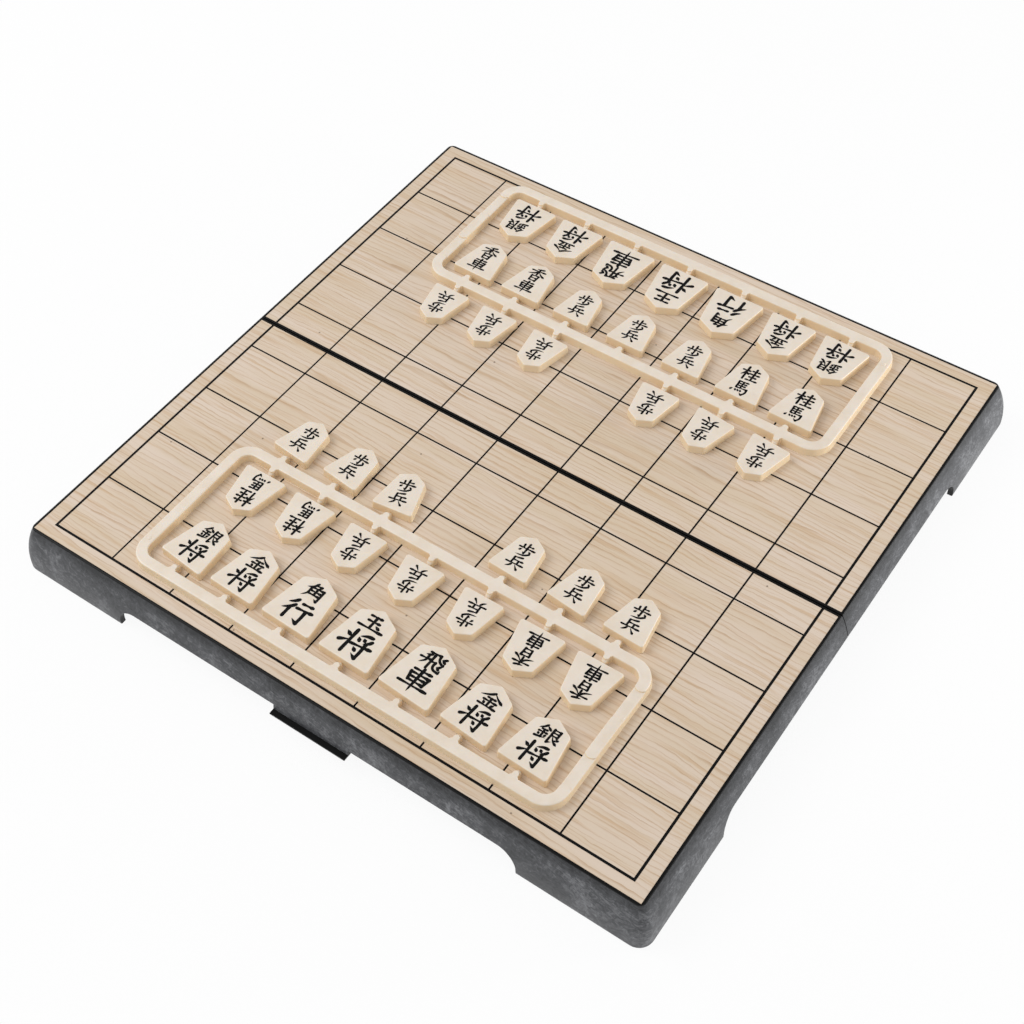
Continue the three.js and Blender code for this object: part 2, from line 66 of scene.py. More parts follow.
# How strongly, out of 100, a smoothed edge follows its larger faces.
FLAT_FACE_WEIGHT = 80

Point = tuple[float, float]
Span = tuple[float, float]
Place = tuple[float, float, float]
Value = float | int | tuple | NodeSocket


def joint_place(name: str) -> Vector:
    """Returns the point on a joint's axis, in millimetres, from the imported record."""
    found = next(joint for joint in frame["joints"] if joint["name"] == name)
    return Vector(found["pos_m"]) / MM


FOLD_LINE = joint_place("fold").y
SHEET_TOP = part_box("near_playing_sheet")[1].z / MM


class Side(Enum):
    """The half of the board that a piece belongs to."""

    NEAR = "near"
    FAR = "far"


class Work(Enum):
    """What a tool does to the solid that it is used on."""

    JOIN = "UNION"
    CUT = "DIFFERENCE"


# Meshes

def make_object(name: str, points: list[Place], faces: list[tuple[int, ...]]) -> Object:
    """Makes a mesh object from points in millimetres.

    Args:
        name: The object's name.
        points: The vertices.
        faces: The vertex numbers round each face, with the face pointing out.

    Returns:
        The new object, linked to the scene.
    """
    mesh = bpy.data.meshes.new(name)
    mesh.from_pydata([tuple(value * MM for value in point) for point in points], [], faces)
    mesh.update()
    made = bpy.data.objects.new(name, mesh)
    bpy.context.scene.collection.objects.link(made)
    return made


def loft(name: str, rings: list[list[Place]], endless: bool = False) -> Object:
    """Makes a closed skin through rings of equal point count.

    Args:
        name: The object's name.
        rings: The rings, each anticlockwise as seen from the last ring's end.
        endless: Whether the last ring joins the first, without end caps.

    Returns:
        The new object.
    """
    count = len(rings[0])
    points = [point for ring in rings for point in ring]
    faces = []
    for ring in range(len(rings) if endless else len(rings) - 1):
        above = (ring + 1) % len(rings) * count
        for corner in range(count):
            ahead = (corner + 1) % count
            faces.append((ring * count + corner, ring * count + ahead, above + ahead, above + corner))
    if not endless:
        top = (len(rings) - 1) * count
        faces.append(tuple(reversed(range(count))))
        faces.append(tuple(range(top, top + count)))
    return make_object(name, points, faces)


def stack(name: str, levels: list[tuple[float, list[Point]]]) -> Object:
    """Makes a closed solid through heights with their outlines, anticlockwise, the lowest first."""
    return loft(name, [[(x, y, z) for x, y in outline] for z, outline in levels])


def block(name: str, low: Place, high: Place) -> Object:
    """Makes a block, to cut or to join, between its lowest and its highest corner."""
    outline = [(low[0], low[1]), (high[0], low[1]), (high[0], high[1]), (low[0], high[1])]
    return stack(name, [(low[2], outline), (high[2], outline)])


def arc(centre: Point, radius: float, start: float, end: float, steps: int) -> list[Point]:
    """Returns the points of an arc between two angles, in some steps and with both its ends."""
    turns = [start + (end - start) * step / steps for step in range(steps + 1)]
    return [(centre[0] + radius * math.cos(a), centre[1] + radius * math.sin(a)) for a in turns]


def circle(radius: float, steps: int, centre: Point = (0.0, 0.0)) -> list[Point]:
    """Returns the points of a circle, anticlockwise, one for each step."""
    return arc(centre, radius, 0.0, 2 * math.pi, steps)[:-1]


def rod(name: str, radius: float, span: Span, place: Point, chamfer: float = 0.0) -> Object:
    """Makes a round rod along X.

    Args:
        name: The object's name.
        radius: The rod's radius.
        span: Where it starts and ends along X.
        place: The Y and Z of its axis.
        chamfer: How much its ends are taken in.

    Returns:
        The new object.
    """
    start, end = span
    ends = [(start, radius), (end, radius)]
    if chamfer:
        ends = [(start, radius - chamfer), (start + chamfer, radius),
                (end - chamfer, radius), (end, radius - chamfer)]
    return loft(name, [[(x, y, z) for y, z in circle(size, ROUND_SIDES, place)] for x, size in ends])


def drop(thing: Object) -> None:
    """Removes an object and its mesh.

    Args:
        thing: The object.
    """
    mesh = thing.data
    bpy.data.objects.remove(thing)
    bpy.data.meshes.remove(mesh)


def apply_modifiers(thing: Object) -> None:
    """Puts the result of an object's modifiers in its mesh.

    Args:
        thing: The object.
    """
    graph = bpy.context.evaluated_depsgraph_get()
    made = bpy.data.meshes.new_from_object(thing.evaluated_get(graph))
    old = thing.data
    thing.modifiers.clear()
    thing.data = made
    made.name = old.name
    bpy.data.meshes.remove(old)


def combine(base: Object, tools: list[Object], work: Work) -> Object:
    """Joins tools to a solid, or cuts them out of it, one after the other.

    Args:
        base: The solid that is changed.
        tools: The solids that are used up.
        work: Whether they are joined or cut.

    Returns:
        The changed solid.
    """
    for tool in tools:
        modifier = base.modifiers.new("work", "BOOLEAN")
        modifier.operation = work.value
        modifier.solver = "MANIFOLD"
        modifier.object = tool
        apply_modifiers(base)
        drop(tool)
    return base


def soften(thing: Object, width: float, segments: int, least_angle: float = 50.0) -> None:
    """Rounds a solid's sharp edges.

    Args:
        thing: The solid.
        width: How far the rounding reaches from the edge.
        segments: How many faces round each edge.
        least_angle: The smallest turn, in degrees, that counts as an edge.
    """
    modifier = thing.modifiers.new("soften", "BEVEL")
    modifier.width = width * MM
    modifier.segments = segments
    modifier.limit_method = "ANGLE"
    modifier.angle_limit = math.radians(least_angle)
    modifier.use_clamp_overlap = True
    apply_modifiers(thing)


def shade(thing: Object, sharp_angle: float = 40.0) -> None:
    """Shades a mesh smooth between its sharp edges, with flat faces kept flat.

    Args:
        thing: The object.
        sharp_angle: The turn, in degrees, from which an edge stays sharp.
    """
    mesh = thing.data
    mesh.shade_smooth()
    mesh.set_sharp_from_angle(angle=math.radians(sharp_angle))
    modifier = thing.modifiers.new("flat_faces", "WEIGHTED_NORMAL")
    modifier.keep_sharp = True
    modifier.weight = FLAT_FACE_WEIGHT


def turn_about(thing: Object, place: Matrix) -> None:
    """Moves an object's mesh.

    Args:
        thing: The object.
        place: The matrix, with its lengths in millimetres.
    """
    scaled = place.copy()
    scaled.translation = place.translation * MM
    thing.data.transform(scaled)
    thing.data.update()


def dress(thing: Object, material: Material) -> None:
    """Gives an object one material in place of those that it has."""
    thing.data.materials.clear()
    thing.data.materials.append(material)


def settle(thing: Object, body: str, nodes: tuple[str, ...] = ()) -> None:
    """Fixes a finished piece to the frame and reports it.

    Args:
        thing: The piece.
        body: The body that it moves with.
        nodes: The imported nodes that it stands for.
    """
    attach(thing, body)
    if nodes:
        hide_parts(*nodes)
    LOG.info("%s on %s, %d faces", thing.name, body, len(thing.data.polygons))


# Materials

def linear(colour: str) -> tuple[float, float, float, float]:
    """Turns an sRGB hex colour into linear red, green, blue and alpha.

    Args:
        colour: The colour, as in "#d3c0aa".

    Returns:
        Four values from 0 to 1.
    """
    shares = [int(colour[at:at + 2], 16) / 255 for at in (1, 3, 5)]
    curve = [s / 12.92 if s <= 0.04045 else ((s + 0.055) / 1.055) ** 2.4 for s in shares]
    return (*curve, 1.0)


def add_node(
    tree: NodeTree,
    kind: str,
    inputs: dict[str | int, Value] | None = None,
    stops: tuple[tuple[float, str], ...] = (),
    **settings: object,
) -> Node:
    """Adds a node with its settings and links.

    Args:
        tree: The node tree.
        kind: The node's type name, without the leading ShaderNode.
        inputs: A value, or a socket to link from, for each input that is set.
        stops: A colour ramp's stops, each with its place from 0 to 1 and its sRGB colour.
        settings: The node's own properties.

    Returns:
        The new node.
    """
    node = tree.nodes.new("ShaderNode" + kind)
    for name, value in settings.items():
        setattr(node, name, value)
    for name, value in (inputs or {}).items():
        if isinstance(value, NodeSocket):
            tree.links.new(value, node.inputs[name])
        else:
            node.inputs[name].default_value = value
    for number, (place, colour) in enumerate(stops):
        elements = node.color_ramp.elements
        element = elements[number] if number < len(elements) else elements.new(place)
        element.position = place
        element.color = linear(colour)
    return node


def new_material(name: str) -> tuple[Material, NodeTree, NodeSocket]:
    """Makes an empty material.

    Args:
        name: The material's name.

    Returns:
        The material, its node tree, and a socket with the place on the object in millimetres.
    """
    material = bpy.data.materials.new(name)
    material.use_nodes = True
    tree = material.node_tree
    tree.nodes.clear()
    coordinates = add_node(tree, "TexCoord")
    scaled = add_node(
        tree, "VectorMath", {"Vector": coordinates.outputs["Object"], "Scale": 1 / MM},
        operation="SCALE",
    )
    return material, tree, scaled.outputs["Vector"]


@dataclass(frozen=True)
class MarbledAbs:
    """Black ABS, injection moulded, with a marbled grey brushed over the outer walls.

    The eye sees soft grey clouds, fine flecks, and short pale scratches that run nearly level, under
    a satin gloss. The tone is taken down towards the rim, which is painted shade.
    """

    name: str = "marbled_abs"
    dark: str = "#27282a"
    middle: str = "#4c4d50"
    light: str = "#86878a"
    roughness: float = 0.42
    gloss: float = 0.3
    cloud_size: float = 13.0
    cloud_share: float = 0.3
    fleck_size: float = 2.6
    fleck_share: float = 0.45
    scratch_length: float = 3.2
    scratch_width: float = 0.5
    scratch_share: float = 0.25
    slant: float = 12.0
    # Painted shade: over these heights the tone is taken down towards the rim, by this much.
    rim_shade_foot: float = 14.0
    rim_shade_top: float = 18.0
    rim_shade_depth: float = 0.13
    relief: float = 0.02

    def build(self) -> Material:
        """Makes the material.

        Returns:
            The new material.
        """
        material, tree, place = new_material(self.name)
        clouds = add_node(tree, "TexNoise", {
            "Vector": place, "Scale": 1 / self.cloud_size, "Detail": 2.0, "Distortion": 0.5,
        })
        flecks = add_node(tree, "TexNoise", {
            "Vector": place, "Scale": 1 / self.fleck_size, "Detail": 5.0, "Roughness": 0.72,
            "Distortion": 1.4,
        })
        # On each wall X + Y runs level along it, so the scratches follow all four.
        parts = add_node(tree, "SeparateXYZ", {0: place})
        along = add_node(tree, "Math", {0: parts.outputs["X"], 1: parts.outputs["Y"]}, operation="ADD")
        flat = add_node(tree, "CombineXYZ", {"X": along.outputs[0], "Y": parts.outputs["Z"]})
        turned = add_node(tree, "VectorRotate", {
            "Vector": flat.outputs[0], "Angle": math.radians(self.slant),
        }, rotation_type="Z_AXIS")
        stretched = add_node(tree, "VectorMath", {
            0: turned.outputs[0], 1: (1 / self.scratch_length, 1 / self.scratch_width, 1.0),
        }, operation="MULTIPLY")
        scratches = add_node(tree, "TexNoise", {
            "Vector": stretched.outputs[0], "Scale": 1.0, "Detail": 2.0, "Distortion": 1.6,
        })
        # Painted shade: the tone is taken down over the wall's upper part, most at the rim.
        rim_shade = add_node(tree, "MapRange", {
            "Value": parts.outputs["Z"], "From Min": self.rim_shade_foot, "From Max": self.rim_shade_top,
            "To Max": -self.rim_shade_depth,
        }, interpolation_type="SMOOTHSTEP")
        tone = rim_shade.outputs[0]
        layers = (
            (clouds, self.cloud_share), (flecks, self.fleck_share), (scratches, self.scratch_share),
        )
        for layer, share in layers:
            added = add_node(tree, "Math", {
                0: layer.outputs["Fac"], 1: share, 2: tone,
            }, operation="MULTIPLY_ADD")
            tone = added.outputs[0]
        marbled = add_node(tree, "ValToRGB", {"Fac": tone}, stops=(
            (0.34, self.dark), (0.5, self.middle), (0.65, self.light),
        ))
        bump = add_node(tree, "Bump", {
            "Height": tone, "Distance": self.relief * MM, "Strength": 1.0,
        })
        shader = add_node(tree, "BsdfPrincipled", {
            "Base Color": marbled.outputs["Color"], "Roughness": self.roughness, "IOR": 1.54,
            "Specular IOR Level": self.gloss, "Normal": bump.outputs[0],
        })
        add_node(tree, "OutputMaterial", {"Surface": shader.outputs[0]})
        return material


@dataclass(frozen=True)
class MouldTrace:
    """What a mould and the flow of the melt leave on plastic: a faint haze and a fine grain."""

    haze_size: float
    relief: float = 0.004
    # A mould's grain is about 0.05 mm. It is drawn at 0.35 mm, as coarse as it needs to show.
    grain_size: float = 0.35

    def build(self, tree: NodeTree, place: NodeSocket) -> tuple[NodeSocket, NodeSocket, NodeSocket]:
        """Adds the traces to a material.

        Args:
            tree: The node tree.
            place: The place on the object, in millimetres.

        Returns:
            The haze and the grain, both from 0 to 1, and the grain's normal.
        """
        haze = add_node(tree, "TexNoise", {
            "Vector": place, "Scale": 1 / self.haze_size, "Detail": 3.0, "Roughness": 0.5,
        })
        grain = add_node(tree, "TexNoise", {
            "Vector": place, "Scale": 1 / self.grain_size, "Detail": 2.0,
        })
        bump = add_node(tree, "Bump", {
            "Height": grain.outputs["Fac"], "Distance": self.relief * MM, "Strength": 1.0,
        })
        return haze.outputs["Fac"], grain.outputs["Fac"], bump.outputs[0]


@dataclass(frozen=True)
class PlainPlastic:
    """Injection-moulded plastic or ink in one colour, with the haze and grain of its making.

    The eye sees an even colour that is a little cloudy, with soft highlights on rounded edges.
    """

    name: str
    colour: str
    cloud: str
    roughness: float
    gloss: float = 0.5
    polish_spread: float = 0.15
    trace: MouldTrace = MouldTrace(haze_size=7.0)

    def build(self) -> Material:
        """Makes the material.

        Returns:
            The new material.
        """
        material, tree, place = new_material(self.name)
        haze, grain, normal = self.trace.build(tree, place)
        colour = add_node(tree, "ValToRGB", {"Fac": haze}, stops=(
            (0.3, self.cloud), (0.6, self.colour),
        ))
        polish = add_node(tree, "MapRange", {
            "Value": grain, "To Min": self.roughness * (1 - self.polish_spread),
            "To Max": self.roughness * (1 + self.polish_spread),
        })
        shader = add_node(tree, "BsdfPrincipled", {
            "Base Color": colour.outputs["Color"], "Roughness": polish.outputs[0], "IOR": 1.54,
            "Specular IOR Level": self.gloss, "Normal": normal,
        })
        add_node(tree, "OutputMaterial", {"Surface": shader.outputs[0]})
        return material


@dataclass(frozen=True)
class IvoryPolystyrene:
    """Ivory polystyrene, injection moulded, which lets a little light in.

    The eye sees a creamy even top under a silky gloss, with faint clouds where the melt flowed,
    and warmer, deeper sides. That side colour is painted light: it goes by how far a face turns
    from upward, and stands in for light that comes out again after a way through the plastic,
    beside the little of that light which the material really lets through.
    """

    name: str = "ivory_polystyrene"
    top: str = "#ebdfd0"
    top_cloud: str = "#e6d8c6"
    # Painted light: the sides' warmer, deeper colour, given by how far a face turns from upward.
    side: str = "#eed8b6"
    side_facing: float = 0.25
    top_facing: float = 0.75
    roughness: float = 0.36
    trace: MouldTrace = MouldTrace(haze_size=6.0)
    depth: float = 1.4
    glow: tuple[float, float, float] = (1.0, 0.78, 0.5)
    glow_share: float = 0.2

    def build(self) -> Material:
        """Makes the material.

        Returns:
            The new material.
        """
        material, tree, place = new_material(self.name)
        haze, _, normal = self.trace.build(tree, place)
        top = add_node(tree, "ValToRGB", {"Fac": haze}, stops=(
            (0.35, self.top_cloud), (0.6, self.top),
        ))
        # Painted light: faces that turn from upward take the warmer side colour.
        facing = add_node(tree, "SeparateXYZ", {0: add_node(tree, "TexCoord").outputs["Normal"]})
        upward = add_node(tree, "MapRange", {
            "Value": facing.outputs["Z"], "From Min": self.side_facing, "From Max": self.top_facing,
        }, interpolation_type="SMOOTHSTEP")
        colour = add_node(tree, "Mix", {
            0: upward.outputs[0], 6: linear(self.side), 7: top.outputs["Color"],
        }, data_type="RGBA")
        shader = add_node(tree, "BsdfPrincipled", {
            "Base Color": colour.outputs[2], "Roughness": self.roughness, "IOR": 1.59,
            "Subsurface Weight": self.glow_share, "Subsurface Radius": self.glow,
            "Subsurface Scale": self.depth * MM, "Normal": normal,
        })
        add_node(tree, "OutputMaterial", {"Surface": shader.outputs[0]})
        return material


@dataclass(frozen=True)
class GrainPattern:
    """A pattern of marks drawn out along the grain, from its own part of the noise."""

    length: float
    width: float
    detail: float
    offset: float

    def build(self, tree: NodeTree, grain: Node) -> NodeSocket:
        """Adds the pattern to a material.

        Args:
            tree: The node tree.
            grain: The node that gives the place along and across the grain, in millimetres.

        Returns:
            The pattern's value, from 0 to 1.
        """
        mapped = add_node(tree, "Mapping", {
            "Vector": grain.outputs[0], "Scale": (1 / self.length, 1 / self.width, 1.0),
            "Location": (self.offset, self.offset, self.offset),
        })
        return add_node(tree, "TexNoise", {
            "Vector": mapped.outputs[0], "Scale": 1.0, "Detail": self.detail, "Roughness": 0.55,
        }).outputs["Fac"]


@dataclass(frozen=True)
class Overprint:
    """The ink of one kind of mark, and how it follows the mark's pattern.

    It starts to show at one value of the pattern and has its full strength at another.
    """

    colour: str
    start: float
    full: float
    strength: float

    def build(self, tree: NodeTree, below: NodeSocket, marks: NodeSocket) -> NodeSocket:
        """Adds the marks over what is printed so far.

        Args:
            tree: The node tree.
            below: The colour under the marks.
            marks: The marks' pattern.

        Returns:
            The print's colour with the marks.
        """
        share = add_node(tree, "MapRange", {
            "Value": marks, "From Min": self.start, "From Max": self.full, "To Max": self.strength,
        })
        return add_node(tree, "Mix", {
            0: share.outputs[0], 6: below, 7: linear(self.colour),
        }, data_type="RGBA").outputs[2]


@dataclass(frozen=True)
class WoodPrint:
    """Paper printed with pale straight-grained wood, under a satin film.

    The grain runs along the fold. The eye sees a cream ground in broad soft bands, faint tan
    streaks, and growth rings a few millimetres apart that darken slowly to a crisp edge and fade
    in and out along the grain, with a rare dark speck.
    """

    name: str = "wood_print"
    pale: str = "#dfcdbb"
    ground: str = "#d8c4ab"
    bands: GrainPattern = GrainPattern(length=90.0, width=7.0, detail=2.0, offset=3.1)
    streaks: GrainPattern = GrainPattern(length=30.0, width=1.3, detail=1.5, offset=17.3)
    streak_ink: Overprint = Overprint("#c8a67f", start=0.5, full=0.75, strength=0.6)
    ring_width: float = 1.9
    ring_spread: float = 3.0
    ring_crispness: float = 2.6
    ring_drift: GrainPattern = GrainPattern(length=60.0, width=5.7, detail=1.0, offset=61.7)
    ring_patches: GrainPattern = GrainPattern(length=16.0, width=1.9, detail=2.0, offset=41.9)
    ring_ink: Overprint = Overprint("#b5926d", start=0.2, full=0.62, strength=0.7)
    speck: str = "#5a4a3c"
    speck_size: float = 0.3
    speck_softness: float = 0.5
    speck_spacing: float = 60.0
    speck_strength: float = 0.8
    waver: float = 0.8
    waver_length: float = 55.0
    wobble: float = 0.26
    wobble_length: float = 5.0
    wander_crowding: float = 1.8
    tilt_share: float = 0.012
    roughness: float = 0.42
    gloss: float = 0.4
    film_ripple: float = 20.0
    film_relief: float = 0.05
    film_strength: float = 0.4

    def bent_across(self, tree: NodeTree, place: NodeSocket, parts: Node) -> NodeSocket:
        """Adds the place across the grain, with the grain's tilt and its two wanders.

        Args:
            tree: The node tree.
            place: The place on the sheet, in millimetres.
            parts: The node that splits it into X, Y and Z.

        Returns:
            The place across the grain, in millimetres.
        """
        across = add_node(tree, "Math", {
            0: parts.outputs["X"], 1: self.tilt_share, 2: parts.outputs["Y"],
        }, operation="MULTIPLY_ADD").outputs[0]
        for length, reach in ((self.waver_length, self.waver), (self.wobble_length, self.wobble)):
            mapped = add_node(tree, "Mapping", {
                "Vector": place, "Scale": (1 / length, self.wander_crowding / length, 0.0),
            })
            wander = add_node(tree, "TexNoise", {
                "Vector": mapped.outputs[0], "Scale": 1.0, "Detail": 2.0,
            })
            # Noise keeps to the middle half of its range, so this gives about the reach each way.
            shift = add_node(tree, "MapRange", {
                "Value": wander.outputs["Fac"], "To Min": -reach * 2, "To Max": reach * 2,
            })
            across = add_node(tree, "Math", {0: across, 1: shift.outputs[0]}, operation="ADD").outputs[0]
        return across

    def build(self) -> Material:
        """Makes the material.

        Returns:
            The new material.
        """
        material, tree, place = new_material(self.name)
        parts = add_node(tree, "SeparateXYZ", {0: place})
        across = self.bent_across(tree, place, parts)
        grain = add_node(tree, "CombineXYZ", {"X": parts.outputs["X"], "Y": across})
        ground = add_node(tree, "ValToRGB", {"Fac": self.bands.build(tree, grain)}, stops=(
            (0.35, self.pale), (0.65, self.ground),
        ))
        streaked = self.streak_ink.build(tree, ground.outputs["Color"], self.streaks.build(tree, grain))
        even = add_node(tree, "Math", {0: across, 1: 1 / self.ring_width}, operation="MULTIPLY")
        uneven = add_node(tree, "Math", {
            0: self.ring_drift.build(tree, grain), 1: self.ring_spread, 2: even.outputs[0],
        }, operation="MULTIPLY_ADD")
        rings = add_node(tree, "Math", {0: uneven.outputs[0]}, operation="FRACT")
        crisp = add_node(tree, "Math", {0: rings.outputs[0], 1: self.ring_crispness}, operation="POWER")
        patchy = add_node(tree, "Math", {
            0: crisp.outputs[0], 1: self.ring_patches.build(tree, grain),
        }, operation="MULTIPLY")
        ringed = self.ring_ink.build(tree, streaked, patchy.outputs[0])
        spots = add_node(tree, "TexVoronoi", {
            "Vector": grain.outputs[0], "Scale": 1 / self.speck_spacing,
        }, voronoi_dimensions="2D")
        rim = self.speck_size / self.speck_spacing
        blur = rim * self.speck_softness
        speck_ink = Overprint(self.speck, rim + blur, rim - blur, self.speck_strength)
        printed = speck_ink.build(tree, ringed, spots.outputs["Distance"])
        film = add_node(tree, "TexNoise", {
            "Vector": place, "Scale": 1 / self.film_ripple, "Detail": 2.0,
        })
        bump = add_node(tree, "Bump", {
            "Height": film.outputs["Fac"], "Distance": self.film_relief * MM,
            "Strength": self.film_strength,
        })
        shader = add_node(tree, "BsdfPrincipled", {
            "Base Color": printed, "Roughness": self.roughness, "IOR": 1.5,
            "Specular IOR Level": self.gloss, "Normal": bump.outputs[0],
        })
        add_node(tree, "OutputMaterial", {"Surface": shader.outputs[0]})
        return material


@dataclass(frozen=True)
class Metal:
    """Metal or ferrite with fine lines along X, from drawing, rolling or grinding.

    The eye sees a soft sheen that is broken into fine lines, over a faintly streaked grey.
    """

    name: str
    colour: str
    dull: str
    roughness: float
    polish_spread: float = 0.3
    # Real lines are 0.01 to 0.02 mm wide. They are drawn at 0.12 mm, as coarse as they need to show.
    line_width: float = 0.12
    line_length: float = 12.0
    metallic: float = 1.0

    def build(self) -> Material:
        """Makes the material.

        Returns:
            The new material.
        """
        material, tree, place = new_material(self.name)
        mapped = add_node(tree, "Mapping", {
            "Vector": place,
            "Scale": (1 / self.line_length, 1 / self.line_width, 1 / self.line_width),
        })
        lines = add_node(tree, "TexNoise", {"Vector": mapped.outputs[0], "Scale": 1.0, "Detail": 3.0})
        colour = add_node(tree, "ValToRGB", {"Fac": lines.outputs["Fac"]}, stops=(
            (0.35, self.dull), (0.65, self.colour),
        ))
        polish = add_node(tree, "MapRange", {
            "Value": lines.outputs["Fac"], "To Min": self.roughness * (1 - self.polish_spread),
            "To Max": self.roughness * (1 + self.polish_spread),
        })
        shader = add_node(tree, "BsdfPrincipled", {
            "Base Color": colour.outputs["Color"], "Metallic": self.metallic,
            "Roughness": polish.outputs[0],
        })
        add_node(tree, "OutputMaterial", {"Surface": shader.outputs[0]})
        return material


@dataclass(frozen=True)
class Finishes:
    """The built materials that the pieces share."""

    wall: Material
    black: Material
    polished: Material
    ivory: Material
    ink: Material
    print: Material
    wire: Material
    plate: Material
    magnet: Material


def build_finishes() -> Finishes:
    """Builds every material of the board once.

    Returns:
        The finishes.
    """
    smooth = MouldTrace(haze_size=7.0, relief=0.001)
    return Finishes(
        wall=MarbledAbs().build(),
        black=PlainPlastic("black_abs", "#111112", "#171718", roughness=0.42, gloss=0.22).build(),
        # Smoother than black_abs, and darker: the darker colour is a painted dark reflection on the rim's
        # land and the lip.
        polished=PlainPlastic("polished_black_abs", "#090909", "#0d0d0e", roughness=0.3, gloss=0.08,
                              trace=smooth).build(),
        ivory=IvoryPolystyrene().build(),
        ink=PlainPlastic("printing_ink", "#030303", "#070707", roughness=0.55, gloss=0.08,
                         trace=smooth).build(),
        print=WoodPrint().build(),
        wire=Metal("drawn_steel_wire", "#c8c9cb", "#a6a8ab", roughness=0.28).build(),
        plate=Metal("rolled_steel_sheet", "#b9bbbd", "#96999c", roughness=0.4).build(),
        magnet=Metal("ferrite", "#3b3b3f", "#2c2c2f", roughness=0.5, metallic=0.6).build(),
    )


# Case

class Surface(Enum):
    """The surfaces of a case half, with the number of each one's material on it."""

    PLAIN = 0
    MARBLED = 1
    # The smoother black, painted darker as a dark reflection.
    POLISHED = 2


@dataclass(frozen=True)
class CaseSizes:
    """Sizes that the case halves share with what they carry."""

    height: float = 18.5
    rim_half_width: float = 120.7
    rim_half_length: float = 119.7
    flare: float = 4.3
    flare_power: float = 2.2
    rim_corner: float = 2.2
    foot_corner: float = 5.2
    wall: float = 2.0
    fold_gap: float = 0.3
    arch_height: float = 9.2
    arch_corner: float = 7.2
    near_foot_reach: float = 80.0
    side_foot_reach: float = 79.2
    rib_thickness: float = 1.5
    rib_depth: float = 2.4
    rim_width: float = 0.8
    fold_rim: float = 1.1
    sheet_stack: float = 1.0
    deck: float = 1.6
    recess_clearance: float = 0.15
    rim_rounding: float = 0.55
    foot_rounding: float = 0.4
    hinge_station: float = 88.0
    hinge_pin: float = 0.7
    knuckle: float = 1.5
    knuckle_floor_gap: float = 0.1
    outer_knuckle: float = 8.0
    middle_knuckle: float = 10.0
    knuckle_gap: float = 0.3
    bore_clearance: float = 0.15
    foot_meet_gap: float = 0.25

    @property
    def deck_top(self) -> float:
        """Height of the deck that carries the steel plate."""
        return self.height - self.sheet_stack

    @property
    def deck_bottom(self) -> float:
        """Height of the deck's underside."""
        return self.deck_top - self.deck

    @property
    def hinge_height(self) -> float:
        """Height of the hinge pins."""
        return self.knuckle + self.knuckle_floor_gap

    @property
    def hinge_half_length(self) -> float:
        """Half the length of a hinge, over its three knuckles."""
        return self.middle_knuckle / 2 + self.knuckle_gap + self.outer_knuckle

    def swell_at(self, depth_share: float) -> float:
        """Returns the share of the foot's swell that the wall has, at a share of the way down."""
        return 1 - (1 - depth_share) ** self.flare_power

    def flare_at(self, depth_share: float) -> float:
        """Returns how far the wall stands out past the rim, at a share of the way down."""
        return self.flare * self.swell_at(depth_share)

    def corner_at(self, depth_share: float) -> float:
        """Returns the plan's corner radius, at a share of the way down."""
        return self.rim_corner + (self.foot_corner - self.rim_corner) * self.swell_at(depth_share)

    def wall_face_at(self, height: float) -> float:
        """Returns the outer wall's distance from the fold at a height."""
        return self.rim_half_length + self.flare_at(1 - height / self.height)


@dataclass(frozen=True)
class LatchSizes:
    """Sizes of the lip, the clasp that hooks over it, and the clasp's pin."""

    centre: float = 2.0
    width: float = 30.0
    tab_drop: float = 2.0
    lip_thickness: float = 0.6
    lip_reach: float = 2.0
    pin: float = 0.75
    barrel: float = 1.7
    wall_gap: float = 0.4
    ear: float = 4.0
    thickness: float = 1.4
    side_gap: float = 0.3
    catch_gap: float = 0.3
    hook_thickness: float = 1.4
    hook_reach: float = 1.5
    floor_gap: float = 0.4
    softening: float = 0.3
    softening_steps: int = 3


